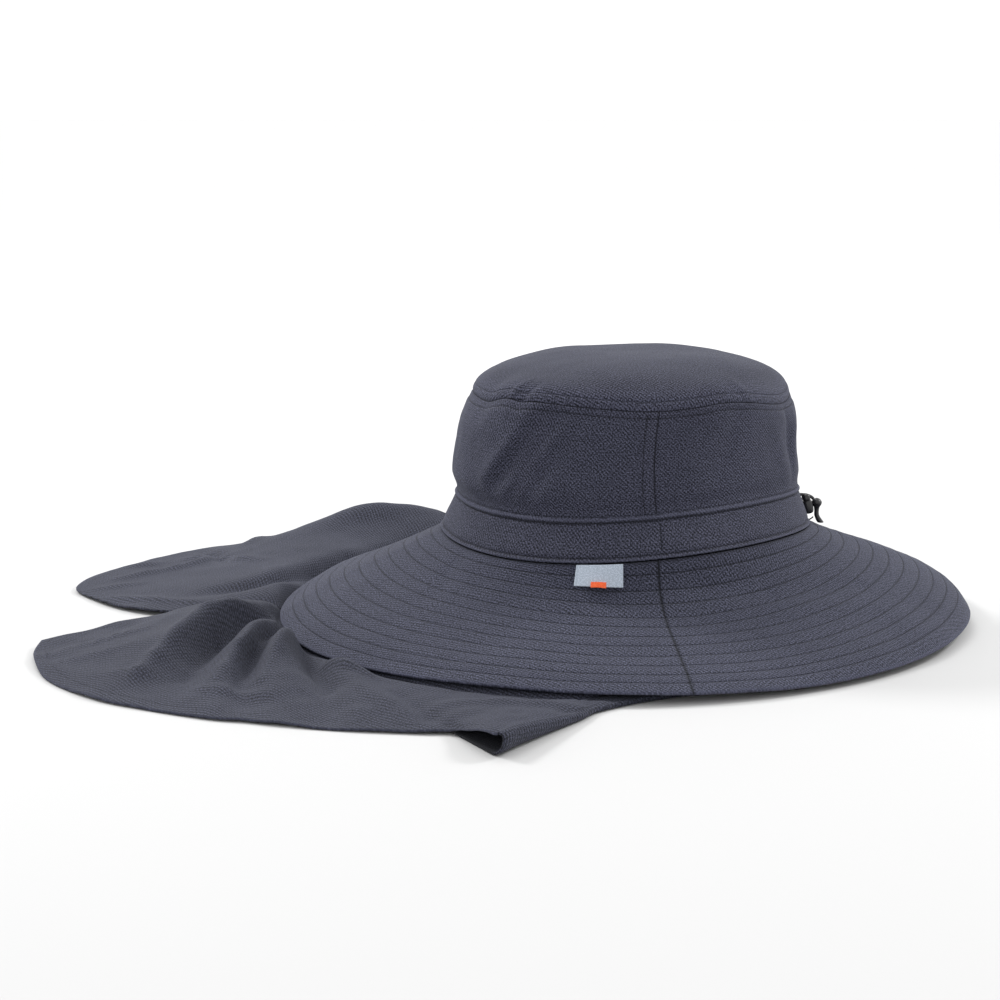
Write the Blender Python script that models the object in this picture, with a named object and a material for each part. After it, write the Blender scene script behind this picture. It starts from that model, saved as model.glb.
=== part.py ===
"""Flap sun hat: a soft bucket crown, a stitched brim and a neck flap with two wings.

Metres, +Z up. The shapes are worked out about the hat's own axis, with the front of the hat at -X, the
wearer's left at -Y and the surface that it lies on at z = 0. A turn is the angle round the hat in degrees:
0 is the back, 90 the far side, 180 the front and 270 the near side. At the end an empty carries every piece
so that the middle of the whole object's floor plan is the origin.
"""

import math

import bmesh
import bpy
from mathutils import Vector

MM = 0.001

# Crown
HEAD_LENGTH = 208 * MM
HEAD_WIDTH = 183.4 * MM
SEAM_HEIGHT = 51.9 * MM
CROWN_HEIGHT = 76.4 * MM
BAND_HEIGHT = 21.7 * MM
TIP_RISE = 21.2 * MM
TIP_SQUARENESS = 2.7
CROWN_WALL = 1.8 * MM
BAND_WALL = 1.5 * MM
CLEARANCE = 0.3 * MM

# Brim
BRIM_REACH_ENDS = 90.2 * MM
BRIM_REACH_SIDES = 84.4 * MM
BRIM_WALL = 2.4 * MM
RIM_HEIGHT = 4.6 * MM
RIM_SWAY = 4.0 * MM
RIM_RIPPLE = 3.6 * MM
RIM_TILT = 0.0157
SEAM_SWAY = 3.35 * MM
FAR_WAVE_SHARE = 0.3
FRONT_CORNERS = 2.0
BACK_CORNERS = 1.25

# Flap
FLAP_REACH = 328.5 * MM
FLAP_WALL = 1.0 * MM
FOLD_HEIGHT = 28 * MM
FLAP_ROOM = 0.9 * MM
RIM_EASE = 3.5 * MM
ROLL_RADIUS = 0.75 * MM
TURN_UNDER = 50 * MM
CREASE_SHARE = 0.86
TUCKED_END = 0.72
TUCK_TURN = 9.0

# Label
LABEL_WIDTH = 23 * MM
LABEL_DROP = 15.5 * MM
LABEL_WALL = 0.8 * MM
LABEL_LIFT = 1.2 * MM
LABEL_TURN = 253.0
TAB_WIDTH = 6.8 * MM
TAB_DROP = 3.4 * MM

# Cord lock
LOCK_LENGTH = 10.6 * MM
LOCK_WIDTH = 8 * MM
LOCK_DEPTH = 6.6 * MM
LOCK_LEAN = 14.0
CORD_DIAMETER = 1.8 * MM
TAIL_DIAMETER = 0.8 * MM
KNOB_DIAMETER = 5.2 * MM
KNOB_LENGTH = 14.6 * MM
KNOB_BEND = 3 * MM

# The crown's outer face, a row for each level: shares of CROWN_HEIGHT, HEAD_LENGTH and HEAD_WIDTH, the shift
# to the back and the egg shape as shares of HEAD_LENGTH and of the width, and how much of SEAM_SWAY is left.
CROWN_ROWS = (
    # height, length, width, shift, egg, sway
    (0.000, 1.000, 1.000, 0.0000, 0.040, 1.00),
    (0.278, 0.928, 0.873, 0.0055, 0.064, 0.80),
    (0.420, 0.940, 0.868, 0.0004, 0.055, 0.65),
    (0.620, 0.921, 0.855, 0.0000, 0.040, 0.45),
    (0.820, 0.904, 0.850, 0.0040, 0.020, 0.30),
    (0.930, 0.880, 0.850, 0.0080, 0.010, 0.20),
    (1.000, 0.850, 0.846, 0.0110, 0.000, 0.15),
)

# The brim's fall from the seam to the rim: shares of the way out and of the drop, at the sides and the ends.
BRIM_ROWS = (
    # slant, out_sides, drop_sides, out_ends, drop_front, drop_back
    (0.00, 0.00, 0.00, 0.00, 0.00, 0.00),
    (0.17, 0.06, 0.33, 0.16, 0.13, 0.14),
    (0.33, 0.23, 0.56, 0.33, 0.28, 0.26),
    (0.60, 0.55, 0.75, 0.62, 0.54, 0.46),
    (0.80, 0.80, 0.87, 0.82, 0.75, 0.64),
    (0.93, 0.93, 0.95, 0.93, 0.90, 0.80),
    (1.00, 1.00, 1.00, 1.00, 1.00, 1.00),
)

# The rings of the brim, as shares of the slant. The flap bends under the brim at the same shares.
BRIM_RINGS = (0.00, 0.09, 0.18, 0.29, 0.42, 0.56, 0.70, 0.85, 1.00)
INNER_RING = 0.56

# The wings, a row for each fold or dip from a slit edge to the pocket of the turned edge. The turns are where
# the row leaves the seam, passes the rim and ends, reach is a share of FLAP_REACH, bow bends the row sideways
# in degrees, and the five lifts are shares of FOLD_HEIGHT on the way out from the rim.
NEAR_WING = (
    # seam, rim, edge, reach, bow, lift_1, lift_2, lift_3, lift_4, lift_5
    (178.0, 172.0, 185.6, 0.985, 0.5, 0.22, 0.25, 0.25, 0.20, 0.09),
    (180.0, 173.0, 189.5, 1.000, 1.0, 0.28, 0.36, 0.36, 0.20, 0.03),
    (183.0, 174.0, 197.0, 0.998, 3.0, 0.34, 0.50, 0.52, 0.30, 0.02),
    (186.0, 175.5, 204.5, 0.965, 5.0, 0.30, 0.60, 0.60, 0.38, 0.02),
    (190.0, 180.0, 210.5, 0.920, 3.5, 0.08, 0.12, 0.13, 0.12, 0.01),
    (194.5, 187.0, 216.5, 0.877, 3.0, 0.36, 0.54, 0.48, 0.27, 0.02),
    (198.5, 191.0, 219.5, 0.850, 1.5, 0.15, 0.15, 0.13, 0.09, 0.01),
    (203.0, 196.0, 222.5, 0.830, 3.0, 0.44, 0.56, 0.43, 0.22, 0.02),
    (208.0, 201.0, 228.5, 0.795, 5.5, 0.09, 0.08, 0.08, 0.07, 0.01),
    (215.0, 209.0, 236.5, 0.750, 3.0, 0.19, 0.25, 0.25, 0.19, 0.05),
    (224.0, 222.0, 240.1, 0.734, 2.0, 0.14, 0.14, 0.12, 0.12, 0.05),
    (232.0, 234.0, 242.8, 0.760, 1.0, 0.14, 0.15, 0.16, 0.19, 0.20),
    (240.0, 243.0, 245.5, 0.793, 0.0, 0.13, 0.18, 0.23, 0.30, 0.35),
    (247.0, 249.0, 247.0, 0.800, -0.5, 0.12, 0.18, 0.24, 0.32, 0.38),
)
FAR_WING = (
    # seam, rim, edge, reach, bow, lift_1, lift_2, lift_3, lift_4, lift_5
    (175.0, 171.0, 165.8, 0.972, 6.0, 0.10, 0.10, 0.10, 0.07, 0.03),
    (171.0, 168.5, 163.5, 0.997, 4.0, 0.22, 0.20, 0.16, 0.10, 0.03),
    (165.0, 164.0, 158.5, 1.000, 1.5, 0.30, 0.27, 0.20, 0.12, 0.04),
    (157.0, 157.0, 152.0, 0.968, 0.5, 0.38, 0.34, 0.26, 0.16, 0.06),
    (148.0, 148.0, 145.0, 0.935, 0.0, 0.47, 0.42, 0.34, 0.25, 0.08),
    (139.0, 138.0, 137.0, 0.905, 0.0, 0.56, 0.52, 0.46, 0.40, 0.03),
    (131.0, 129.0, 130.5, 0.885, 0.0, 0.60, 0.62, 0.66, 0.68, 0.03),
    (123.0, 121.0, 124.0, 0.865, 0.0, 0.58, 0.66, 0.82, 0.97, 0.03),
    (117.0, 114.0, 118.5, 0.840, 0.0, 0.50, 0.62, 0.76, 0.78, 0.10),
    (112.0, 109.0, 114.0, 0.800, 0.0, 0.36, 0.50, 0.60, 0.62, 0.42),
)

# The way out from the rim at which the five lifts stand, as shares of the way to the edge.
LIFT_SHARES = (0.07, 0.20, 0.40, 0.65, 1.00)

# Where the turned edges of the two wings come out from under the rim, and how each crease faces there.
NEAR_CREASE_TURN = 259.0
FAR_CREASE_TURN = 101.0
NEAR_CREASE_FACING = 315.0
FAR_CREASE_FACING = 45.0

# The end of the turned edge's hem at each pocket, along the hat and out to the side.
POCKET_HEM = (-119 * MM, 208 * MM)

CREASE_SHARES = (0.16, 0.40, 0.68, 0.90)
SHARES_OUT = (0.06, 0.22, 0.41, 0.61, 0.81, 1.00)
ROLL_ANGLES = (40.0, 80.0, 125.0, 180.0)
ROLL_SQUASH = 0.5
ROLL_LEAN = 0.38
UNDER_STEPS = 3


def material(name, colour, roughness, metallic=0.0):
    made = bpy.data.materials.new(name)
    made.use_nodes = True
    shader = made.node_tree.nodes["Principled BSDF"]
    shader.inputs["Base Color"].default_value = (*colour, 1.0)
    shader.inputs["Roughness"].default_value = roughness
    shader.inputs["Metallic"].default_value = metallic
    return made


def lerp(a, b, share):
    return a + (b - a) * share


def smooth(share):
    share = min(max(share, 0.0), 1.0)
    return share * share * (3.0 - 2.0 * share)


def through(rows, place):
    """Read a row of numbers at a place between rows, on a smooth curve through them."""
    place = min(max(place, 0.0), len(rows) - 1.0)
    low = min(int(place), len(rows) - 2)
    t = place - low
    before = rows[max(low - 1, 0)]
    after = rows[min(low + 2, len(rows) - 1)]
    out = []
    for p0, p1, p2, p3 in zip(before, rows[low], rows[low + 1], after):
        out.append(0.5 * (2 * p1 + (p2 - p0) * t + (2 * p0 - 5 * p1 + 4 * p2 - p3) * t * t
                          + (3 * p1 - p0 - 3 * p2 + p3) * t ** 3))
    return out


def read_table(rows, value):
    """Read the columns of a table whose first column rises, at a value of that column."""
    for low in range(len(rows) - 1):
        if value <= rows[low + 1][0] or low == len(rows) - 2:
            span = rows[low + 1][0] - rows[low][0]
            return through(rows, low + (value - rows[low][0]) / span)[1:]


def sway(turn):
    """How the near side dips at the front corner and rises at the back one, and the far side less so."""
    angle = math.radians(turn)
    return 2.0 * abs(math.sin(angle)) * math.cos(angle) * near_share(turn)


def near_share(turn):
    """The share of the near side's waves at a turn: all of them there, and FAR_WAVE_SHARE on the far side."""
    return lerp(1.0, FAR_WAVE_SHARE, smooth(math.sin(math.radians(turn))))


def oval(turn, length, width, egg, shift=0.0):
    angle = math.radians(turn)
    x = shift + length / 2 * math.cos(angle)
    y = width / 2 * math.sin(angle) * (1.0 - egg * math.cos(angle))
    return x, y


def crown_point(turn, share, inset=0.0):
    """A point on the crown's outer face, or inset from it, at a share of CROWN_HEIGHT."""
    length, width, shift, egg, lean = read_table(CROWN_ROWS, share)
    x, y = oval(turn, HEAD_LENGTH * length - 2 * inset, HEAD_WIDTH * width - 2 * inset, egg,
                HEAD_LENGTH * shift)
    z = SEAM_HEIGHT + CROWN_HEIGHT * share + SEAM_SWAY * lean * sway(turn)
    return Vector((x, y, z))


def seam_point(turn):
    """The middle of the crown's foot, where the brim hangs from it."""
    return crown_point(turn, 0.0, BAND_WALL / 2 + CLEARANCE / 2)


def rim_point(turn):
    length = HEAD_LENGTH + 2 * BRIM_REACH_ENDS
    width = HEAD_WIDTH + 2 * BRIM_REACH_SIDES
    x, y = oval(turn, length, width, CROWN_ROWS[0][4])
    ripple = RIM_RIPPLE * math.cos(3 * math.radians(turn)) * near_share(turn)
    z = RIM_HEIGHT - RIM_TILT * x + RIM_SWAY * sway(turn) + ripple
    return Vector((x, y, z))


def brim_shares(turn, slant):
    out_sides, drop_sides, out_ends, drop_front, drop_back = read_table(BRIM_ROWS, slant)
    at_back = math.cos(math.radians(turn)) > 0.0
    side = abs(math.sin(math.radians(turn))) ** (BACK_CORNERS if at_back else FRONT_CORNERS)
    drop_ends = drop_back if at_back else drop_front
    return lerp(out_ends, out_sides, side), lerp(drop_ends, drop_sides, side)


def brim_point(turn, slant):
    """A point on the middle layer of the brim, at a share of the slant from the seam to the rim."""
    seam = seam_point(turn)
    rim = rim_point(turn)
    seam.z -= CLEARANCE + BRIM_WALL / 2 * brim_flatness(turn)
    out, drop = brim_shares(turn, slant)
    return Vector((lerp(seam.x, rim.x, out), lerp(seam.y, rim.y, out), lerp(seam.z, rim.z, drop)))


def brim_flatness(turn):
    """How level the brim leaves the seam: 1 is level, 0 is straight down."""
    out, drop = brim_shares(turn, BRIM_ROWS[1][0])
    run = out * (BRIM_REACH_ENDS + BRIM_REACH_SIDES) / 2
    fall = drop * (SEAM_HEIGHT - RIM_HEIGHT)
    return run / math.hypot(run, fall)


def brim_normal(turn, slant):
    """The outward face direction of the brim."""
    low, high = max(slant - 0.02, 0.0), min(slant + 0.02, 1.0)
    along = brim_point(turn, high) - brim_point(turn, low)
    around = brim_point(turn + 1.0, slant) - brim_point(turn - 1.0, slant)
    return along.cross(around).normalized()


def beside_brim(turn, slant, distance):
    """A point that lies off the brim's middle layer, above it or, for a negative distance, below it."""
    return brim_point(turn, slant) + brim_normal(turn, slant) * distance


def way_out(x, y):
    """The turn of the brim's spoke through a place, and the share of the way out along it."""
    turn = math.degrees(math.atan2(y / HEAD_WIDTH, x / HEAD_LENGTH))
    for _ in range(6):
        misses = []
        for near_turn in (turn, turn + 0.1):
            seam, rim = seam_point(near_turn), rim_point(near_turn)
            spoke_x, spoke_y = rim.x - seam.x, rim.y - seam.y
            misses.append((x - seam.x) * spoke_y - (y - seam.y) * spoke_x)
        turn -= 0.1 * misses[0] / (misses[1] - misses[0])
    seam, rim = seam_point(turn), rim_point(turn)
    share = ((x - seam.x) * (rim.x - seam.x) + (y - seam.y) * (rim.y - seam.y))
    return turn, share / ((rim.x - seam.x) ** 2 + (rim.y - seam.y) ** 2)


def brim_ceiling(x, y):
    """How high the middle of the flap may lie under the brim at a place, or None outside the rim."""
    turn, share = way_out(x, y)
    if share > 1.03:
        return None
    low, high = 0.0, 1.0
    for _ in range(20):
        slant = (low + high) / 2
        if brim_shares(turn, slant)[0] < share:
            low = slant
        else:
            high = slant
    room = BRIM_WALL / 2 + FLAP_WALL / 2 + 2 * FLAP_ROOM
    return brim_point(turn, slant).z - room / max(brim_normal(turn, slant).z, 0.2)


def sheet(name, surface, across, along, wall, finish):
    """Bend a grid over a surface function of two shares and give it a wall, half to each side.

    Where the function gives None there is no cloth.
    """
    bm = bmesh.new()
    bmesh.ops.create_grid(bm, x_segments=across, y_segments=along, size=0.5)
    outside = []
    for vert in bm.verts:
        place = surface(vert.co.x + 0.5, vert.co.y + 0.5)
        if place is None:
            outside.append(vert)
        else:
            vert.co = place
    bmesh.ops.delete(bm, geom=outside, context="VERTS")
    bmesh.ops.remove_doubles(bm, verts=bm.verts, dist=0.01 * MM)
    bmesh.ops.recalc_face_normals(bm, faces=bm.faces)
    mesh = bpy.data.meshes.new(name)
    bm.to_mesh(mesh)
    bm.free()
    mesh.shade_smooth()
    mesh.materials.append(finish)
    made = bpy.data.objects.new(name, mesh)
    bpy.context.collection.objects.link(made)
    wall_modifier = made.modifiers.new("Wall", "SOLIDIFY")
    wall_modifier.thickness = wall
    wall_modifier.offset = 0.0
    return made


def crown_tip(finish):
    centre = (crown_point(0.0, 1.0) + crown_point(180.0, 1.0)) / 2

    def surface(around, inward):
        edge = crown_point(360.0 * around, 1.0, CROWN_WALL / 2)
        out = 1.0 - inward
        z = edge.z + CLEARANCE + TIP_RISE * math.sqrt(max(1.0 - out ** TIP_SQUARENESS, 0.0))
        z = lerp(z, centre.z + TIP_RISE, inward ** 2)
        return Vector((lerp(centre.x, edge.x, out), lerp(centre.y, edge.y, out), z))

    return sheet("crown_tip", lambda u, v: surface(u, v ** 1.6), 40, 6, CROWN_WALL, finish)


def side_panel(name, first_turn, last_turn, finish):
    low = 0.0
    high = 1.0 - CLEARANCE / CROWN_HEIGHT
    band_top = (BAND_HEIGHT + CLEARANCE) / CROWN_HEIGHT
    levels = (low, 0.5 * band_top, band_top, 1.3 * band_top, 0.5, 0.68, 0.84, 0.93, high)

    def surface(around, up):
        share = levels[round(up * (len(levels) - 1))]
        under_band = 1.0 if share <= band_top else 0.0
        inset = CROWN_WALL / 2 + under_band * (BAND_WALL + CLEARANCE)
        gap = math.degrees(CLEARANCE / HEAD_LENGTH)
        lean = math.degrees(2 * read_table(CROWN_ROWS, share)[2]) * math.copysign(1.0, first_turn)
        turn = lerp(first_turn + gap + lean, last_turn - gap - lean, around)
        return crown_point(turn, share, inset)

    return sheet(name, surface, 20, len(levels) - 1, CROWN_WALL, finish)


def hat_band(finish):
    high = BAND_HEIGHT / CROWN_HEIGHT

    def surface(around, up):
        return crown_point(360.0 * around, high * up, BAND_WALL / 2)

    return sheet("hat_band", surface, 40, 2, BAND_WALL, finish)


def brim_half(name, first_turn, last_turn, finish):
    rings = len(BRIM_RINGS) - 1

    def surface(around, out):
        slant = BRIM_RINGS[round(out * rings)]
        gap = math.degrees(CLEARANCE / lerp(HEAD_LENGTH, HEAD_LENGTH + 2 * BRIM_REACH_ENDS, slant))
        return brim_point(lerp(first_turn + gap, last_turn - gap, around), slant)

    return sheet(name, surface, 30, rings, BRIM_WALL, finish)


def wing_row(row):
    """A row of the wing tables as the numbers that the flap's columns are read from."""
    seam, rim, edge, reach, bow = row[:5]
    lifts = [FOLD_HEIGHT * lift + FLAP_WALL / 2 for lift in row[5:]]
    angle = math.radians(edge)
    x, y = FLAP_REACH * reach * math.cos(angle), FLAP_REACH * reach * math.sin(angle)
    hem = (POCKET_HEM[0], math.copysign(POCKET_HEM[1], y))
    return {"seam": seam, "rim": rim, "end": 1.0, "edge": (x, y), "bow": bow, "lifts": lifts,
            "hem": hem, "facing": edge, "tucked": 0.0, "open": 1.0}


def flap_rows():
    """Every row of the flap, from the slit's near edge round the back to its far edge."""
    near = [wing_row(row) for row in NEAR_WING]
    far = [wing_row((row[0] + 360.0, row[1] + 360.0, row[2] + 360.0, *row[3:])) for row in FAR_WING]
    far.reverse()
    near_creases = crease_rows(near[-1], NEAR_CREASE_TURN, NEAR_CREASE_FACING)
    far_creases = crease_rows(far[0], FAR_CREASE_TURN + 360.0, FAR_CREASE_FACING + 360.0)
    far_creases.reverse()
    near[-1]["facing"] = NEAR_CREASE_FACING
    far[0]["facing"] = FAR_CREASE_FACING + 360.0
    tucked = []
    first, last = NEAR_CREASE_TURN + TUCK_TURN, FAR_CREASE_TURN - TUCK_TURN + 360.0
    steps = 7
    for step in range(steps + 1):
        tucked.append(tucked_row(lerp(first, last, step / steps)))
    return near + near_creases + tucked + far_creases + far


def tucked_row(turn):
    """A row at the back, where the flap turns under inside the rim."""
    crease = brim_point(turn, CREASE_SHARE)
    flat = Vector((crease.x, crease.y))
    hem = flat - flat.normalized() * TURN_UNDER
    level = FLAP_WALL / 2 + 2 * ROLL_RADIUS
    return {"seam": turn, "rim": turn, "end": TUCKED_END, "edge": tuple(flat), "bow": 0.0,
            "lifts": [level] * 5, "hem": tuple(hem), "facing": turn, "tucked": 1.0, "open": 0.0}


def crease_rows(pocket, turn, facing):
    """The rows along a turned edge, from the pocket at its hem to the tucked edge under the rim."""
    rows = []
    start = Vector(pocket["edge"])
    rim = rim_point(turn)
    finish = Vector((rim.x, rim.y))
    first_hem = Vector(pocket["hem"])
    last_hem = Vector(tucked_row(turn + math.copysign(TUCK_TURN, rim.x * rim.y))["hem"])
    for share in CREASE_SHARES:
        top = [lerp(lift, FLAP_WALL / 2 + 2 * ROLL_RADIUS, smooth(share * 1.1)) for lift in pocket["lifts"]]
        rows.append({"seam": lerp(pocket["seam"], turn, share), "rim": lerp(pocket["rim"], turn, share),
                     "end": lerp(1.0, TUCKED_END, share ** 3), "bow": pocket["bow"], "lifts": top,
                     "edge": tuple(start.lerp(finish, share)),
                     "hem": tuple(first_hem.lerp(last_hem, share)), "facing": facing, "tucked": 0.0,
                     "open": 1.0 - share})
    return rows


def flat_row(row):
    """A row's numbers in one list, so that columns between two rows can be read."""
    return [row["seam"], row["rim"], row["end"], *row["edge"], row["bow"], *row["lifts"], *row["hem"],
            row["facing"], row["tucked"], row["open"]]


def lift_at(lifts, low, share):
    """The flap's height at a share of the way out, through the five lifts of a row."""
    rows = [(0.0, low)] + [(place, lift) for place, lift in zip(LIFT_SHARES, lifts)]
    return read_table(rows, share)[0]


def flap_column(numbers, turned):
    """The points of one column of the flap, from the seam to the edge, and on round the fold to the hem."""
    seam, rim, end, edge_x, edge_y, bow = numbers[:6]
    lifts = numbers[6:11]
    hem = Vector((*numbers[11:13], FLAP_WALL / 2))
    facing, tucked, open_share = numbers[13:16]
    room = BRIM_WALL / 2 + FLAP_WALL / 2 + FLAP_ROOM
    points = []
    for share in BRIM_RINGS:
        turn = lerp(seam, rim, smooth(share))
        slant = share
        if share > INNER_RING:
            slant = INNER_RING + (share - INNER_RING) * (end - INNER_RING) / (1.0 - INNER_RING)
        points.append(beside_brim(turn, slant, -room))
    along = brim_point(rim, end) - brim_point(rim, end - 0.02)
    start = points[-1] + along.normalized() * RIM_EASE
    ceiling = brim_ceiling(start.x, start.y)
    if ceiling is not None:
        start.z = min(start.z, ceiling)
    start.z = max(start.z, FLAP_WALL / 2)
    points.append(start)

    outward = Vector((math.cos(math.radians(facing)), math.sin(math.radians(facing)), 0.0))
    radius = (lifts[-1] - FLAP_WALL / 2) / 2
    edge = Vector((edge_x, edge_y, 0.0))
    if turned:
        edge -= outward * radius * (1.0 - open_share)
    first_angle = math.degrees(math.atan2(start.y, start.x))
    last_angle = math.degrees(math.atan2(edge.y, edge.x))
    last_angle += 360.0 * round((first_angle - last_angle) / 360.0)
    for share in SHARES_OUT:
        angle = math.radians(lerp(first_angle, last_angle, share) + bow * math.sin(math.pi * share))
        reach = lerp(math.hypot(start.x, start.y), math.hypot(edge.x, edge.y), share)
        x, y = reach * math.cos(angle), reach * math.sin(angle)
        z = lift_at(lifts, start.z, share)
        ceiling = brim_ceiling(x, y)
        if ceiling is not None:
            z = min(lerp(z, lerp(ceiling, lifts[-1], smooth(share)), tucked), ceiling)
        points.append(Vector((x, y, max(z, FLAP_WALL / 2))))
    if not turned:
        return points + [None] * (len(ROLL_ANGLES) + UNDER_STEPS)

    crease = points[-1]
    squash = lerp(1.0, ROLL_SQUASH, open_share)
    lean = ROLL_LEAN * open_share
    radius = (crease.z - FLAP_WALL / 2) / 2
    for angle in ROLL_ANGLES:
        down = 1.0 - math.cos(math.radians(angle))
        out = squash * math.sin(math.radians(angle)) - lean * down
        points.append(crease + outward * radius * out - Vector((0.0, 0.0, radius * down)))
    low = points[-1]
    for step in range(1, UNDER_STEPS + 1):
        points.append(low.lerp(hem, step / UNDER_STEPS))
    return points


def neck_flap(finish):
    rows = [flat_row(row) for row in flap_rows()]
    columns = 2 * (len(rows) - 1)
    near_pocket = 2 * (len(NEAR_WING) - 1)
    far_pocket = columns - 2 * (len(FAR_WING) - 1)
    grid = []
    for column in range(columns + 1):
        turned = near_pocket <= column <= far_pocket
        grid.append(flap_column(through(rows, column / columns * (len(rows) - 1)), turned))
    steps = len(grid[0]) - 1

    def surface(around, out):
        return grid[round(around * columns)][round(out * steps)]

    return sheet("neck_flap", surface, columns, steps, FLAP_WALL, finish)


def label_sheet(name, width, first_drop, last_drop, lift, finish):
    """A small piece of woven tape that lies on the brim below the crown's foot."""
    seam = seam_point(LABEL_TURN)
    rim = rim_point(LABEL_TURN)
    slant_length = 1.12 * (rim - seam).length

    def surface(across, down):
        turn = LABEL_TURN + math.degrees(width * (across - 0.5) / math.hypot(seam.x, seam.y))
        top = beside_brim(turn, 0.0, lift)
        bottom = beside_brim(turn, LABEL_DROP / slant_length, LABEL_LIFT + lift)
        return top.lerp(bottom, lerp(first_drop, last_drop, down) / LABEL_DROP)

    return sheet(name, surface, 6, 1, LABEL_WALL, finish)


def side_label(finish):
    lift = BRIM_WALL / 2 + CLEARANCE + LABEL_WALL / 2
    return label_sheet("side_label", LABEL_WIDTH, 2 * CLEARANCE, LABEL_DROP, lift, finish)


def label_tab(finish):
    lift = BRIM_WALL / 2 + 2 * CLEARANCE + 1.5 * LABEL_WALL
    first = LABEL_DROP - 0.75 * TAB_DROP
    return label_sheet("label_tab", TAB_WIDTH, first, first + TAB_DROP, lift, finish)


def link(bm, name, finish):
    mesh = bpy.data.meshes.new(name)
    bm.to_mesh(mesh)
    bm.free()
    mesh.shade_smooth()
    mesh.materials.append(finish)
    made = bpy.data.objects.new(name, mesh)
    bpy.context.collection.objects.link(made)
    return made


def lock_place():
    """Where the cord lock's middle stands, just off the band at the back."""
    lean = math.radians(LOCK_LEAN)
    foot = crown_point(0.0, 0.36 * BAND_HEIGHT / CROWN_HEIGHT)
    return foot + Vector((math.cos(lean), 0.0, math.sin(lean))) * (LOCK_DEPTH / 2 + 2 * CLEARANCE)


def knob_place():
    """Where the middle of the knob's round head stands, behind the lock."""
    return lock_place() + Vector((LOCK_DEPTH / 2 + KNOB_DIAMETER / 2 + CLEARANCE, 0.0, 0.12 * LOCK_LENGTH))


def cord_lock(finish):
    bm = bmesh.new()
    bmesh.ops.create_cube(bm, size=1.0)
    bmesh.ops.scale(bm, vec=(LOCK_DEPTH, LOCK_WIDTH, LOCK_LENGTH), verts=bm.verts)
    corner = 0.24 * LOCK_DEPTH
    bmesh.ops.bevel(bm, geom=bm.edges, offset=corner, segments=3, profile=0.5, affect="EDGES", material=-1)
    made = link(bm, "cord_lock", finish)
    made.location = lock_place()
    made.rotation_euler = (0.0, -math.radians(LOCK_LEAN), 0.0)
    return made


# The cord's end from the top of its round head to its foot: shares of KNOB_LENGTH, KNOB_BEND and KNOB_DIAMETER.
KNOB_ROWS = (
    # down, back, across
    (0.00, 0.00, 0.00),
    (0.04, 0.00, 0.55),
    (0.17, 0.00, 1.00),
    (0.30, 0.02, 0.74),
    (0.38, 0.05, 0.46),
    (0.68, 0.05, 0.42),
    (0.84, 0.45, 0.56),
    (0.95, 0.80, 0.58),
    (1.00, 0.95, 0.00),
)


def cord_end(finish):
    """The knob on the end of the cord: a round head, a thin neck and a flared foot."""
    bm = bmesh.new()
    bmesh.ops.create_grid(bm, x_segments=10, y_segments=len(KNOB_ROWS) - 1, size=0.5)
    for vert in bm.verts:
        down, back, across = KNOB_ROWS[round((vert.co.y + 0.5) * (len(KNOB_ROWS) - 1))]
        angle = 2.0 * math.pi * (vert.co.x + 0.5)
        radius = across * KNOB_DIAMETER / 2
        vert.co = (back * KNOB_BEND + radius * math.cos(angle), radius * math.sin(angle),
                   (KNOB_ROWS[2][0] - down) * KNOB_LENGTH)
    bmesh.ops.remove_doubles(bm, verts=bm.verts, dist=0.01 * MM)
    bmesh.ops.recalc_face_normals(bm, faces=bm.faces)
    made = link(bm, "cord_end", finish)
    made.location = knob_place()
    return made


def tube(name, points, diameter, finish):
    """A round cord through a few points."""
    curve = bpy.data.curves.new(name, "CURVE")
    curve.dimensions = "3D"
    curve.bevel_depth = diameter / 2
    curve.bevel_resolution = 2
    curve.use_fill_caps = True
    spline = curve.splines.new("POLY")
    spline.points.add(len(points) - 1)
    for slot, point in zip(spline.points, points):
        slot.co = (*point, 1.0)
    curve.materials.append(finish)
    made = bpy.data.objects.new(name, curve)
    bpy.context.collection.objects.link(made)
    return made


def draw_cord(finish):
    """The cord from the top of the band, over the lock, to the knob's round head."""
    band_top = crown_point(0.0, 0.8 * BAND_HEIGHT / CROWN_HEIGHT)
    off = CORD_DIAMETER / 2 + CLEARANCE + 0.3 * LOCK_DEPTH
    lean = math.radians(LOCK_LEAN)
    lock_top = lock_place() + Vector((-math.sin(lean), 0.0, math.cos(lean))) * (LOCK_LENGTH / 2 + off)
    head = knob_place()
    start = Vector((band_top.x + 3 * CLEARANCE, 0.0, lock_top.z + 0.2 * CORD_DIAMETER))
    reach = Vector((head.x - lock_top.x, 0.0, head.z - lock_top.z))
    stop = head - reach.normalized() * (KNOB_DIAMETER / 2 + CLEARANCE)
    bend = Vector((lock_top.x + 0.95 * (stop.x - lock_top.x), 0.0, lock_top.z))
    points = []
    for step in range(7):
        share = step / 6
        first = start.lerp(bend, share)
        points.append(first.lerp(bend.lerp(stop, share), share))
    return tube("draw_cord", points, CORD_DIAMETER, finish)


def cord_tail(finish):
    """The thin elastic from the knob's neck down to the foot of the band."""
    neck = knob_place() + Vector((-0.21 * KNOB_DIAMETER - TAIL_DIAMETER / 2 - CLEARANCE, 0.0, -0.5 * KNOB_LENGTH))
    foot = crown_point(0.0, 0.06 * BAND_HEIGHT / CROWN_HEIGHT)
    foot.x += CLEARANCE
    points = []
    for step in range(6):
        share = step / 5
        point = neck.lerp(foot, share)
        point.z -= 0.9 * MM * math.sin(math.pi * share)
        points.append(point)
    return tube("cord_tail", points, TAIL_DIAMETER, finish)


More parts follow.
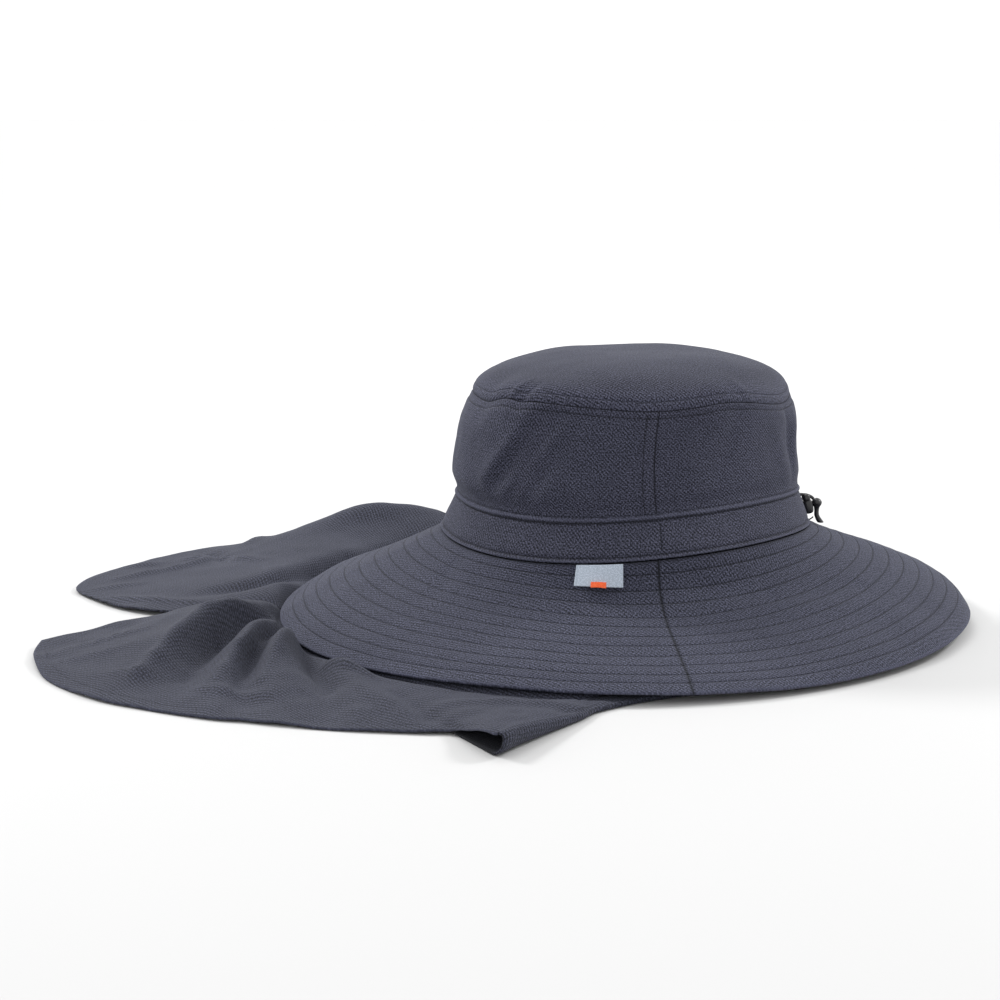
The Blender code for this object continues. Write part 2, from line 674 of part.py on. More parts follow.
def carry(pieces):
    """Carry every piece on one empty, so that the object stands with the middle of its plan on the origin."""
    bpy.context.view_layer.update()
    graph = bpy.context.evaluated_depsgraph_get()
    corners = []
    for piece in pieces:
        mesh = piece.evaluated_get(graph).to_mesh()
        corners += [piece.matrix_world @ vert.co for vert in mesh.vertices]
    middle = [(min(c[axis] for c in corners) + max(c[axis] for c in corners)) / 2 for axis in (0, 1)]
    frame = bpy.data.objects.new("frame", None)
    bpy.context.collection.objects.link(frame)
    for piece in pieces:
        piece.parent = frame
    frame.location = (-middle[0], -middle[1], -min(c.z for c in corners))


def main():
    for old in list(bpy.data.objects):
        bpy.data.objects.remove(old, do_unlink=True)
    crown_cloth = material("crown_cloth", (0.055, 0.062, 0.082), 0.88)
    brim_cloth = material("brim_cloth", (0.065, 0.072, 0.092), 0.88)
    flap_cloth = material("flap_cloth", (0.060, 0.066, 0.086), 0.85)
    label_tape = material("label_tape", (0.42, 0.45, 0.50), 0.55)
    tab_tape = material("tab_tape", (0.80, 0.20, 0.05), 0.60)
    black_plastic = material("black_plastic", (0.012, 0.012, 0.014), 0.30)
    black_cord = material("black_cord", (0.012, 0.012, 0.014), 0.70)
    carry([
        crown_tip(crown_cloth),
        side_panel("side_panel_front", 90.0, 270.0, crown_cloth),
        side_panel("side_panel_back", -90.0, 90.0, crown_cloth),
        hat_band(crown_cloth),
        brim_half("brim_front", 90.0, 270.0, brim_cloth),
        brim_half("brim_back", -90.0, 90.0, brim_cloth),
        neck_flap(flap_cloth),
        side_label(label_tape),
        label_tab(tab_tape),
        cord_lock(black_plastic),
        cord_end(black_plastic),
        draw_cord(black_cord),
        cord_tail(black_cord),
    ])

main()
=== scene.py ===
"""Looks of the flap sun hat: stitched cloth, a bare label, the cord stopper, a pale floor and soft light.

Metres, +Z up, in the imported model's frame. The shapes are worked out about the hat's own axis, from the same
named sizes as the solids, and are then carried to where the solids stand. A turn is the angle round the hat
in degrees: 0 is the back, 90 the far side, 180 the front and 270 the near side.
"""

import math

import bmesh
import bpy
import numpy as np
from mathutils import Matrix, Vector, noise


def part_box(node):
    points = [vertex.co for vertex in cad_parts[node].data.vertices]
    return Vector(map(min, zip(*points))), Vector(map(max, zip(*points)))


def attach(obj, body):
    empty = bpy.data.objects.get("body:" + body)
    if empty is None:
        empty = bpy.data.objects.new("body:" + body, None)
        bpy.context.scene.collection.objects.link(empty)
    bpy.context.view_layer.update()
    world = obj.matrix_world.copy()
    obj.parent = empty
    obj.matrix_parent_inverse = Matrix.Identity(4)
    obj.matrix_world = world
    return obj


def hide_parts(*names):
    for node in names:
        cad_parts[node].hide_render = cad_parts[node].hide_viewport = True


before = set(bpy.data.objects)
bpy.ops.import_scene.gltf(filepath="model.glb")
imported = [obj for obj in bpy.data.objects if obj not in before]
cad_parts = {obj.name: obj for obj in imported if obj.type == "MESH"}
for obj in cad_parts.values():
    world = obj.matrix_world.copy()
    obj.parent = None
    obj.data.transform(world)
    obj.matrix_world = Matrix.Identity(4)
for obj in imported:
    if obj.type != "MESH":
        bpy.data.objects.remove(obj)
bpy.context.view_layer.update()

MM = 0.001

# Crown
HEAD_LENGTH = 208 * MM
HEAD_WIDTH = 183.4 * MM
SEAM_HEIGHT = 51.9 * MM
CROWN_HEIGHT = 76.4 * MM
BAND_HEIGHT = 21.7 * MM
TIP_RISE = 21.2 * MM
TIP_SQUARENESS = 2.7
CROWN_WALL = 1.8 * MM
BAND_WALL = 1.5 * MM
CLEARANCE = 0.3 * MM

# Brim
BRIM_REACH_ENDS = 90.2 * MM
BRIM_REACH_SIDES = 84.4 * MM
BRIM_WALL = 2.4 * MM
RIM_HEIGHT = 4.6 * MM
RIM_SWAY = 4.0 * MM
RIM_RIPPLE = 3.6 * MM
RIM_TILT = 0.0157
SEAM_SWAY = 3.35 * MM
FAR_WAVE_SHARE = 0.3
FRONT_CORNERS = 2.0
BACK_CORNERS = 1.25
STITCH_RINGS = 12

# Flap
FLAP_REACH = 328.5 * MM
FLAP_WALL = 1.0 * MM
FOLD_HEIGHT = 28 * MM
FLAP_ROOM = 0.9 * MM
RIM_EASE = 3.5 * MM
ROLL_RADIUS = 0.75 * MM
TURN_UNDER = 50 * MM
CREASE_SHARE = 0.86
TUCKED_END = 0.72
TUCK_TURN = 9.0
HEM_WIDTH = 7 * MM

# Label
LABEL_WIDTH = 21.9 * MM
LABEL_DROP = 16.4 * MM
LABEL_WALL = 0.8 * MM
LABEL_LIFT = 1.2 * MM
LABEL_CURL = 0.5 * MM
LABEL_EDGE = 1.1 * MM
LABEL_EDGE_WIDTH = 0.4 * MM
LABEL_EDGE_DIP = 0.18 * MM
LABEL_ROUNDING = 0.22 * MM
LABEL_TURN = 253.0
TAB_WIDTH = 6.8 * MM
TAB_DROP = 4.2 * MM

# Cord lock
LOCK_LENGTH = 10.6 * MM
LOCK_WIDTH = 8 * MM
LOCK_DEPTH = 6.6 * MM
LOCK_LEAN = math.radians(14.0)
CORD_DIAMETER = 1.8 * MM
TAIL_DIAMETER = 0.8 * MM
KNOB_DIAMETER = 5.2 * MM
KNOB_LENGTH = 14.6 * MM
KNOB_BEND = 3 * MM

# Mean radii of the rings of cloth, for their flat maps
TIP_RADIUS = 85 * MM
WALL_RADIUS = 94 * MM
BAND_RADIUS = 96 * MM
SEAM_RADIUS = 95 * MM
RIM_RADIUS = 185 * MM

# Camera
CAMERA_AZIMUTH = 0.193109394
CAMERA_DISTANCE = 1.079674
CAMERA_HEIGHT = 0.280885
CAMERA_PITCH = 0.1974918
CAMERA_YAW = -0.0654801
CAMERA_LENS = 70.1319

CROWN_ROWS = (
    # height, length, width, shift, egg, sway
    (0.000, 1.000, 1.000, 0.0000, 0.040, 1.00),
    (0.278, 0.928, 0.873, 0.0055, 0.064, 0.80),
    (0.420, 0.940, 0.868, 0.0004, 0.055, 0.65),
    (0.620, 0.921, 0.855, 0.0000, 0.040, 0.45),
    (0.820, 0.904, 0.850, 0.0040, 0.020, 0.30),
    (0.930, 0.880, 0.850, 0.0080, 0.010, 0.20),
    (1.000, 0.850, 0.846, 0.0110, 0.000, 0.15),
)
BRIM_ROWS = (
    # slant, out_sides, drop_sides, out_ends, drop_front, drop_back
    (0.00, 0.00, 0.00, 0.00, 0.00, 0.00),
    (0.17, 0.06, 0.33, 0.16, 0.13, 0.14),
    (0.33, 0.23, 0.56, 0.33, 0.28, 0.26),
    (0.60, 0.55, 0.75, 0.62, 0.54, 0.46),
    (0.80, 0.80, 0.87, 0.82, 0.75, 0.64),
    (0.93, 0.93, 0.95, 0.93, 0.90, 0.80),
    (1.00, 1.00, 1.00, 1.00, 1.00, 1.00),
)
BRIM_RINGS = (0.00, 0.09, 0.18, 0.29, 0.42, 0.56, 0.70, 0.85, 1.00)
INNER_RING = 0.56
NEAR_WING = (
    # seam, rim, edge, reach, bow, lift_1, lift_2, lift_3, lift_4, lift_5
    (178.0, 172.0, 185.6, 0.985, 0.5, 0.22, 0.25, 0.25, 0.20, 0.09),
    (180.0, 173.0, 189.5, 1.000, 1.0, 0.28, 0.36, 0.36, 0.20, 0.03),
    (183.0, 174.0, 197.0, 0.998, 3.0, 0.34, 0.50, 0.52, 0.30, 0.02),
    (186.0, 175.5, 204.5, 0.965, 5.0, 0.30, 0.60, 0.60, 0.38, 0.02),
    (190.0, 180.0, 210.5, 0.920, 3.5, 0.08, 0.12, 0.13, 0.12, 0.01),
    (194.5, 187.0, 216.5, 0.877, 3.0, 0.36, 0.54, 0.48, 0.27, 0.02),
    (198.5, 191.0, 219.5, 0.850, 1.5, 0.15, 0.15, 0.13, 0.09, 0.01),
    (203.0, 196.0, 222.5, 0.830, 3.0, 0.44, 0.56, 0.43, 0.22, 0.02),
    (208.0, 201.0, 228.5, 0.795, 5.5, 0.09, 0.08, 0.08, 0.07, 0.01),
    (215.0, 209.0, 236.5, 0.750, 3.0, 0.19, 0.25, 0.25, 0.19, 0.05),
    (224.0, 222.0, 240.1, 0.734, 2.0, 0.14, 0.14, 0.12, 0.12, 0.05),
    (232.0, 234.0, 242.8, 0.760, 1.0, 0.14, 0.15, 0.16, 0.19, 0.20),
    (240.0, 243.0, 245.5, 0.793, 0.0, 0.13, 0.18, 0.23, 0.30, 0.35),
    (247.0, 249.0, 247.0, 0.800, -0.5, 0.12, 0.18, 0.24, 0.32, 0.38),
)
FAR_WING = (
    # seam, rim, edge, reach, bow, lift_1, lift_2, lift_3, lift_4, lift_5
    (175.0, 171.0, 165.8, 0.972, 6.0, 0.10, 0.10, 0.10, 0.07, 0.03),
    (171.0, 168.5, 163.5, 0.997, 4.0, 0.22, 0.20, 0.16, 0.10, 0.03),
    (165.0, 164.0, 158.5, 1.000, 1.5, 0.30, 0.27, 0.20, 0.12, 0.04),
    (157.0, 157.0, 152.0, 0.968, 0.5, 0.38, 0.34, 0.26, 0.16, 0.06),
    (148.0, 148.0, 145.0, 0.935, 0.0, 0.32, 0.34, 0.33, 0.25, 0.08),
    (139.0, 138.0, 137.0, 0.905, 0.0, 0.30, 0.36, 0.42, 0.40, 0.03),
    (131.0, 129.0, 130.5, 0.885, 0.0, 0.22, 0.30, 0.46, 0.60, 0.03),
    (123.0, 121.0, 124.0, 0.865, 0.0, 0.15, 0.26, 0.53, 0.84, 0.03),
    (117.0, 114.0, 118.5, 0.840, 0.0, 0.15, 0.28, 0.56, 0.80, 0.10),
    (112.0, 109.0, 114.0, 0.800, 0.0, 0.15, 0.28, 0.50, 0.64, 0.44),
)
LIFT_SHARES = (0.07, 0.20, 0.40, 0.65, 1.00)
NEAR_CREASE_TURN = 259.0
FAR_CREASE_TURN = 101.0
NEAR_CREASE_FACING = 315.0
FAR_CREASE_FACING = 45.0
POCKET_HEM = (-119 * MM, 208 * MM)
CREASE_SHARES = (0.16, 0.40, 0.68, 0.90)
SHARES_OUT = (0.06, 0.22, 0.41, 0.61, 0.81, 1.00)
ROLL_ANGLES = (40.0, 80.0, 125.0, 180.0)
ROLL_SQUASH = 0.72
ROLL_LEAN = 0.33
UNDER_STEPS = 3

# Dents and ridges of the crown's wall: where each starts and ends (turn, share of the height), how wide it is
# and how far it stands in (less than 0) or out.
CROWN_DENTS = (
    # turn, share, turn, share, width, height
    (231.0, 0.95, 214.0, 0.46, 5.5 * MM, -2.6 * MM),
    (238.0, 0.96, 221.0, 0.40, 4.5 * MM, -1.9 * MM),
    (245.0, 0.94, 227.0, 0.36, 5.0 * MM, -1.2 * MM),
    (227.0, 0.88, 209.0, 0.50, 5.0 * MM, 1.2 * MM),
    (235.0, 0.80, 222.0, 0.46, 3.5 * MM, 1.0 * MM),
    (330.0, 0.95, 332.0, 0.42, 4.0 * MM, -1.1 * MM),
    (338.0, 0.90, 336.0, 0.50, 4.0 * MM, 0.9 * MM),
    (322.0, 0.70, 326.0, 0.36, 6.0 * MM, 0.7 * MM),
    (300.0, 0.93, 292.0, 0.55, 7.0 * MM, -0.6 * MM),
    (150.0, 0.92, 162.0, 0.45, 6.0 * MM, -1.4 * MM),
    (120.0, 0.85, 112.0, 0.40, 7.0 * MM, -1.0 * MM),
    (60.0, 0.90, 52.0, 0.42, 6.0 * MM, -1.2 * MM),
    (20.0, 0.85, 26.0, 0.45, 6.0 * MM, -0.9 * MM),
)
BRIM_DENTS = (
    # turn, slant, turn, slant, width, height
    (280.0, 0.17, 300.0, 0.27, 6.0 * MM, -1.0 * MM),
    (300.0, 0.27, 324.0, 0.44, 7.0 * MM, -0.9 * MM),
    (288.0, 0.32, 318.0, 0.55, 8.0 * MM, 0.6 * MM),
    (205.0, 0.10, 212.0, 0.34, 7.0 * MM, -0.7 * MM),
    (150.0, 0.25, 140.0, 0.60, 9.0 * MM, -0.8 * MM),
    (40.0, 0.30, 50.0, 0.62, 9.0 * MM, -0.8 * MM),
)

# Folds and creases of the flap on the plan, in millimetres: start, end, half width and height.
FLAP_FOLDS = (
    # x, y, x, y, width, height
    (-103, 172, -148, 127, 6.5, -3.2),
    (-148, 127, -172, 97, 7.0, -4.0),
    (-172, 97, -192, 73, 7.0, -3.8),
    (-192, 73, -214, 59, 7.0, -2.8),
    (-214, 59, -237, 53, 7.0, -1.5),
    (-236, 158, -226, 128, 5.0, -2.2),
    (-230, 142, -257, 123, 4.0, 1.2),
    (-230, 142, -252, 148, 4.5, 1.0),
    (-226, 132, -205, 118, 5.0, 1.2),
    (-236, 158, -243, 176, 4.0, -0.9),
    (-211, 172, -203, 196, 5.0, 1.3),
    (-257, 123, -289, 107, 4.0, 1.1),
    (-267, 142, -285, 137, 4.0, 1.0),
    (-276, 90, -300, 84, 4.0, 0.8),
    (-242, 34, -290, 60, 4.5, 0.8),
    (-201, -1, -235, -35, 4.5, 1.6),
    (-235, -35, -259, -93, 4.5, 1.6),
    (-259, -93, -270, -116, 4.0, 1.0),
    (-205, -22, -228, -62, 4.5, -1.6),
    (-228, -62, -243, -116, 5.0, -1.8),
    (-196, -56, -218, -91, 4.0, 1.4),
    (-218, -91, -228, -127, 4.0, 1.2),
    (-193, -74, -207, -133, 3.5, 1.5),
    (-185, -78, -175, -146, 4.5, -1.4),
    (-172, -107, -154, -128, 4.0, 2.2),
    (-310, -54, -264, -41, 2.5, 0.9),
    (-309, -74, -272, -70, 2.5, 0.7),
    (-291, -103, -262, -112, 3.0, 0.7),
    (-318, -70, -306, -92, 2.0, 0.7),
    (-322, -60, -312, -62, 1.6, 0.8),
    (-236, -136, -206, -150, 4.0, 0.8),
    (-168, -150, -160, -188, 5.0, 0.9),
    (-120, -178, -60, -190, 6.0, 1.2),
    (-140, -160, -128, -196, 5.0, -0.9),
)

TURN_STEP = 1.0


def lerp(a, b, share):
    return a + (b - a) * share


def smooth(share):
    share = np.clip(share, 0.0, 1.0)
    return share * share * (3.0 - 2.0 * share)


def through(rows, place):
    """Read rows of numbers at places between them, on a smooth curve through the rows."""
    rows = np.asarray(rows, float)
    place = np.clip(place, 0.0, len(rows) - 1.0)
    low = np.minimum(np.floor(place).astype(int), len(rows) - 2)
    t = (place - low)[..., None]
    before, p1, p2 = rows[np.maximum(low - 1, 0)], rows[low], rows[low + 1]
    after = rows[np.minimum(low + 2, len(rows) - 1)]
    return 0.5 * (2 * p1 + (p2 - before) * t + (2 * before - 5 * p1 + 4 * p2 - after) * t ** 2
                  + (3 * p1 - before - 3 * p2 + after) * t ** 3)


def read_table(rows, value):
    """Read the columns of a table whose first column rises, at values of that column."""
    rows = np.asarray(rows, float)
    place = np.interp(value, rows[:, 0], np.arange(len(rows)))
    return np.moveaxis(through(rows[:, 1:], place), -1, 0)


def near_share(turn):
    return lerp(1.0, FAR_WAVE_SHARE, smooth(np.sin(np.radians(turn))))


def sway(turn):
    """How the near side dips at the front corner and rises at the back one, and the far side less so."""
    angle = np.radians(turn)
    return 2.0 * np.abs(np.sin(angle)) * np.cos(angle) * near_share(turn)


def oval(turn, length, width, egg, shift=0.0):
    angle = np.radians(turn)
    return shift + length / 2 * np.cos(angle), width / 2 * np.sin(angle) * (1.0 - egg * np.cos(angle))


def crown_point(turn, share, inset=0.0):
    """Points on the crown's outer face, or inset from it, at shares of CROWN_HEIGHT."""
    turn, share = np.broadcast_arrays(np.asarray(turn, float), np.asarray(share, float))
    length, width, shift, egg, lean = read_table(CROWN_ROWS, share)
    x, y = oval(turn, HEAD_LENGTH * length - 2 * inset, HEAD_WIDTH * width - 2 * inset, egg,
                HEAD_LENGTH * shift)
    z = SEAM_HEIGHT + CROWN_HEIGHT * share + SEAM_SWAY * lean * sway(turn)
    return np.stack((x, y, z), -1)


def seam_point(turn):
    return crown_point(turn, 0.0, BAND_WALL / 2 + CLEARANCE / 2)


def rim_point(turn):
    x, y = oval(turn, HEAD_LENGTH + 2 * BRIM_REACH_ENDS, HEAD_WIDTH + 2 * BRIM_REACH_SIDES, CROWN_ROWS[0][4])
    ripple = RIM_RIPPLE * np.cos(3 * np.radians(turn)) * near_share(turn)
    return np.stack((x, y, RIM_HEIGHT - RIM_TILT * x + RIM_SWAY * sway(turn) + ripple), -1)


def brim_shares(turn, slant):
    out_sides, drop_sides, out_ends, drop_front, drop_back = read_table(BRIM_ROWS, slant)
    at_back = np.cos(np.radians(turn)) > 0.0
    side = np.abs(np.sin(np.radians(turn))) ** np.where(at_back, BACK_CORNERS, FRONT_CORNERS)
    drop_ends = np.where(at_back, drop_back, drop_front)
    return lerp(out_ends, out_sides, side), lerp(drop_ends, drop_sides, side)


def brim_flatness(turn):
    out, drop = brim_shares(turn, np.full(np.shape(turn), BRIM_ROWS[1][0]))
    run = out * (BRIM_REACH_ENDS + BRIM_REACH_SIDES) / 2
    return run / np.hypot(run, drop * (SEAM_HEIGHT - RIM_HEIGHT))


def brim_point(turn, slant):
    """Points on the middle layer of the brim, at shares of the slant from the seam to the rim."""
    turn, slant = np.broadcast_arrays(np.asarray(turn, float), np.asarray(slant, float))
    seam, rim = seam_point(turn), rim_point(turn)
    seam[..., 2] -= CLEARANCE + BRIM_WALL / 2 * brim_flatness(turn)
    out, drop = brim_shares(turn, slant)
    return seam + (rim - seam) * np.stack((out, out, drop), -1)


def unit(vectors):
    return vectors / np.linalg.norm(vectors, axis=-1, keepdims=True)


SLANT_STEP = 0.02


def brim_normal(turn, slant):
    low, high = np.maximum(slant - SLANT_STEP, 0.0), np.minimum(slant + SLANT_STEP, 1.0)
    along = brim_point(turn, high) - brim_point(turn, low)
    around = brim_point(turn + TURN_STEP, slant) - brim_point(turn - TURN_STEP, slant)
    return unit(np.cross(along, around))


def beside_brim(turn, slant, distance):
    """Points that lie off the brim's middle layer, above it or, for negative distances, below it."""
    turn, slant = np.broadcast_arrays(np.asarray(turn, float), np.asarray(slant, float))
    return brim_point(turn, slant) + brim_normal(turn, slant) * np.asarray(distance)[..., None]


def hump(away, width):
    """1 on a line, and softly down to 0 beside it."""
    return np.exp(-(away / width) ** 2)


def ridges(places, rows, row_scale=1.0):
    """The height of a table's dents and ridges at places on a flat plan."""
    height = np.zeros(places.shape[:-1])
    for x0, y0, x1, y1, width, rise in rows:
        start = np.array((x0, y0)) * row_scale
        line = np.array((x1, y1)) * row_scale - start
        share = np.clip(((places - start) @ line) / (line @ line), 0.0, 1.0)
        away = np.linalg.norm(places - start - share[..., None] * line, axis=-1) / (width * row_scale)
        fade = 0.55 + 0.45 * np.sin(np.pi * np.clip(share, 0.0, 1.0))
        height += rise * row_scale * fade * np.exp(-away * away)
    return height


def on_wall(rows, metres_per_turn, metres_per_share):
    """Rows of dents whose ends are turns and shares, with the ends as metres on the flat pattern."""
    return [(t0 * metres_per_turn, s0 * metres_per_share, t1 * metres_per_turn, s1 * metres_per_share, w, h)
            for t0, s0, t1, s1, w, h in rows]


def unevenness(places, size, seed):
    """Soft uneven heights from -1 to 1 with bumps of about the given size."""
    offset = Vector((seed, 2.7 * seed, -1.3 * seed))
    return np.array([noise.noise(Vector(place) / size + offset) for place in places])


# The hat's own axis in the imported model's frame
front_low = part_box("brim_front")[0]
back_low, back_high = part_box("brim_back")
AXIS = np.array(((front_low.x + back_high.x) / 2, (back_low.y + back_high.y) / 2, 0.0))


# Materials

def maths(tree, operation, first, second=None, third=None, clamp=False):
    node = tree.nodes.new("ShaderNodeMath")
    node.operation = operation
    node.use_clamp = clamp
    for slot, value in enumerate((first, second, third)):
        if value is None:
            continue
        if isinstance(value, (int, float)):
            node.inputs[slot].default_value = value
        else:
            tree.links.new(value, node.inputs[slot])
    return node.outputs[0]


def noise_value(tree, vector, scale, detail=2.0, roughness=0.5):
    node = tree.nodes.new("ShaderNodeTexNoise")
    node.inputs["Scale"].default_value = scale
    node.inputs["Detail"].default_value = detail
    node.inputs["Roughness"].default_value = roughness
    tree.links.new(vector, node.inputs["Vector"])
    return node.outputs["Fac"]


def split(tree, vector):
    """The first two parts of a vector."""
    node = tree.nodes.new("ShaderNodeSeparateXYZ")
    tree.links.new(vector, node.inputs[0])
    return node.outputs["X"], node.outputs["Y"]


def new_group(name, inputs, outputs):
    group = bpy.data.node_groups.new(name, "ShaderNodeTree")
    for title, kind, value in inputs:
        made = group.interface.new_socket(name=title, in_out="INPUT", socket_type=kind)
        if value is not None:
            made.default_value = value
    for title, kind in outputs:
        group.interface.new_socket(name=title, in_out="OUTPUT", socket_type=kind)
    return group, group.nodes.new("NodeGroupInput"), group.nodes.new("NodeGroupOutput")


def make_twill_group():
    """Diagonal twill: a shade from 0 to 1 for the threads and flecks, and the height of the weave."""
    group, given, result = new_group(
        "twill weave",
        (("Cloth", "NodeSocketVector", None), ("Rib", "NodeSocketFloat", 1.5 * MM),
         ("Fleck", "NodeSocketFloat", 0.5)),
        (("Shade", "NodeSocketFloat"), ("Height", "NodeSocketFloat")))
    x, y = split(group, given.outputs["Cloth"])
    waver = noise_value(group, given.outputs["Cloth"], 90.0, 1.0)
    waver = maths(group, "MULTIPLY", maths(group, "SUBTRACT", waver, 0.5), 1.0 * MM)
    across = maths(group, "ADD", maths(group, "ADD", x, y), waver)
    along = maths(group, "SUBTRACT", y, x)

    def wave(way, turning):
        turned = maths(group, "DIVIDE", maths(group, "MULTIPLY", way, turning), given.outputs["Rib"])
        return maths(group, "MULTIPLY_ADD", maths(group, "SINE", turned), 0.5, 0.5)

    ribs = maths(group, "POWER", wave(across, 2 * math.pi / 1.414), 1.4)
    dots = maths(group, "MULTIPLY", ribs, maths(group, "MULTIPLY_ADD", wave(along, 1.3 * math.pi), 0.7, 0.3))
    flecks = noise_value(group, given.outputs["Cloth"], 1250.0, 1.0, 0.6)
    flecks = maths(group, "MULTIPLY_ADD", maths(group, "SUBTRACT", flecks, 0.5), 9.0, 0.24, clamp=True)
    one_less = maths(group, "SUBTRACT", 1.0, given.outputs["Fleck"])
    shade = maths(group, "ADD", maths(group, "MULTIPLY", dots, one_less),
                  maths(group, "MULTIPLY", flecks, given.outputs["Fleck"]), clamp=True)
    height = maths(group, "ADD", maths(group, "MULTIPLY", dots, 0.7), maths(group, "MULTIPLY", flecks, 0.3))
    group.links.new(shade, result.inputs["Shade"])
    group.links.new(height, result.inputs["Height"])
    return group


def make_fade_group():
    """Soft uneven colour of worn, washed cloth."""
    group, given, result = new_group(
        "washed fade", (("Place", "NodeSocketVector", None),), (("Fade", "NodeSocketFloat"),))
    wide = noise_value(group, given.outputs["Place"], 16.0, 3.0, 0.55)
    fine = noise_value(group, given.outputs["Place"], 130.0, 2.0, 0.6)
    fade = maths(group, "MULTIPLY_ADD", fine, 0.4, maths(group, "MULTIPLY", wide, 0.6))
    fade = maths(group, "MULTIPLY_ADD", maths(group, "SUBTRACT", fade, 0.5), 2.2, 0.5, clamp=True)
    group.links.new(fade, result.inputs["Fade"])
    return group


def make_stitch_group():
    """A row of stitches: masks of its sunk line and its threads, from a map of the ways along and from it."""
    group, given, result = new_group(
        "stitched line",
        (("Map", "NodeSocketVector", None), ("Width", "NodeSocketFloat", 0.7 * MM),
         ("Stitch", "NodeSocketFloat", 2.8 * MM)),
        (("Line", "NodeSocketFloat"), ("Thread", "NodeSocketFloat"), ("Height", "NodeSocketFloat")))
    along, off = split(group, given.outputs["Map"])
    away = maths(group, "DIVIDE", maths(group, "ABSOLUTE", off), given.outputs["Width"])
    line = maths(group, "SUBTRACT", 1.0, away, clamp=True)
    line = maths(group, "SMOOTH_MIN", maths(group, "MULTIPLY", line, 1.6), 1.0, 0.2, clamp=True)
    step = maths(group, "FRACT", maths(group, "DIVIDE", along, given.outputs["Stitch"]))
    dash = maths(group, "SUBTRACT", 0.36, maths(group, "ABSOLUTE", maths(group, "SUBTRACT", step, 0.5)))
    dash = maths(group, "MULTIPLY", dash, 12.0, clamp=True)
    narrow = maths(group, "SUBTRACT", 1.0, maths(group, "MULTIPLY", away, 2.6), clamp=True)
    thread = maths(group, "MULTIPLY", dash, maths(group, "MULTIPLY", narrow, 2.0, clamp=True))
    height = maths(group, "SUBTRACT", maths(group, "MULTIPLY", thread, 0.8), line)
    group.links.new(line, result.inputs["Line"])
    group.links.new(thread, result.inputs["Thread"])
    group.links.new(height, result.inputs["Height"])
    return group


TWILL = make_twill_group()
FADE = make_fade_group()
STITCH = make_stitch_group()


def new_material(name, roughness, **constants):
    made = bpy.data.materials.new(name)
    made.use_nodes = True
    shader = made.node_tree.nodes["Principled BSDF"]
    shader.inputs["Roughness"].default_value = roughness
    for title, value in constants.items():
        shader.inputs[title.replace("_", " ")].default_value = value
    return made, made.node_tree, shader


def mix_colour(tree, share, first, second, blend="MIX"):
    node = tree.nodes.new("ShaderNodeMix")
    node.data_type = "RGBA"
    node.blend_type = blend
    for value, place in ((share, 0), (first, 6), (second, 7)):
        if isinstance(value, tuple):
            node.inputs[place].default_value = (*value, 1.0)
        elif isinstance(value, (int, float)):
            node.inputs[place].default_value = value
        else:
            tree.links.new(value, node.inputs[place])
    return node.outputs[2]


def use_group(tree, group, links, **values):
    node = tree.nodes.new("ShaderNodeGroup")
    node.node_tree = group
    for title, source in links.items():
        tree.links.new(source, node.inputs[title])
    for title, value in values.items():
        node.inputs[title].default_value = value
    return node


def map_output(tree, name):
    node = tree.nodes.new("ShaderNodeUVMap")
    node.uv_map = name
    return node.outputs["UV"]


def twill(tree, rib, fleck):
    """The shade and the height of the twill on the piece's own flat map."""
    node = use_group(tree, TWILL, {"Cloth": map_output(tree, "Weave")}, Rib=rib, Fleck=fleck)
    return node.outputs["Shade"], node.outputs["Height"]


def place_output(tree):
    return tree.nodes.new("ShaderNodeTexCoord").outputs["Object"]


def bump(tree, shader, height, distance):
    node = tree.nodes.new("ShaderNodeBump")
    node.inputs["Distance"].default_value = distance
    node.inputs["Strength"].default_value = 1.0
    tree.links.new(height, node.inputs["Height"])
    tree.links.new(node.outputs["Normal"], shader.inputs["Normal"])


CLOTH_ROUGHNESS = 0.88
WEAVE_DEPTH = 0.22 * MM


def cloth(name, deep, pale, rib, fleck, line, dash):
    """Twill cloth between two colours, faded here and there, with stitched lines and the marks from its maps:
    dark joints, wear, painted shade and painted highlight. Line is how much painted shade darkens the sunk
    line; dash is how dark its stitches are."""
    made, tree, shader = new_material(name, CLOTH_ROUGHNESS, Sheen_Weight=0.08, Sheen_Roughness=0.5,
                                      Specular_IOR_Level=0.22)
    shader.inputs["Sheen Tint"].default_value = (0.72, 0.76, 0.90, 1.0)
    shade, weave_height = twill(tree, rib, fleck)
    fade = use_group(tree, FADE, {"Place": place_output(tree)}).outputs["Fade"]
    colour = mix_colour(tree, shade, deep, pale)
    washed = mix_colour(tree, fade, (0.86, 0.86, 0.87), (1.14, 1.14, 1.12))
    colour = mix_colour(tree, 1.0, colour, washed, "MULTIPLY")
    seam = use_group(tree, STITCH, {"Map": map_output(tree, "Seams")})
    # The sunk line is darkened by painted shade; the stitches' darkness is their thread's own colour.
    dark = maths(tree, "ADD", maths(tree, "MULTIPLY", seam.outputs["Line"], line),
                 maths(tree, "MULTIPLY", seam.outputs["Thread"], dash), clamp=True)
    # Mark map: its dark part is dark joints and painted shade, its pale part wear and painted highlight.
    joins_and_painted_shade, wear_and_painted_highlight = split(tree, map_output(tree, "Marks"))
    dark = maths(tree, "MAXIMUM", dark, joins_and_painted_shade)
    colour = mix_colour(tree, wear_and_painted_highlight, colour, tuple(0.9 * part for part in pale))
    colour = mix_colour(tree, dark, colour, tuple(0.4 * part for part in deep))
    tree.links.new(colour, shader.inputs["Base Color"])
    height = maths(tree, "ADD", weave_height, maths(tree, "MULTIPLY", seam.outputs["Height"], 1.2))
    rough = maths(tree, "MULTIPLY_ADD", shade, 0.10, CLOTH_ROUGHNESS - 0.06)
    tree.links.new(rough, shader.inputs["Roughness"])
    bump(tree, shader, height, WEAVE_DEPTH)
    return made


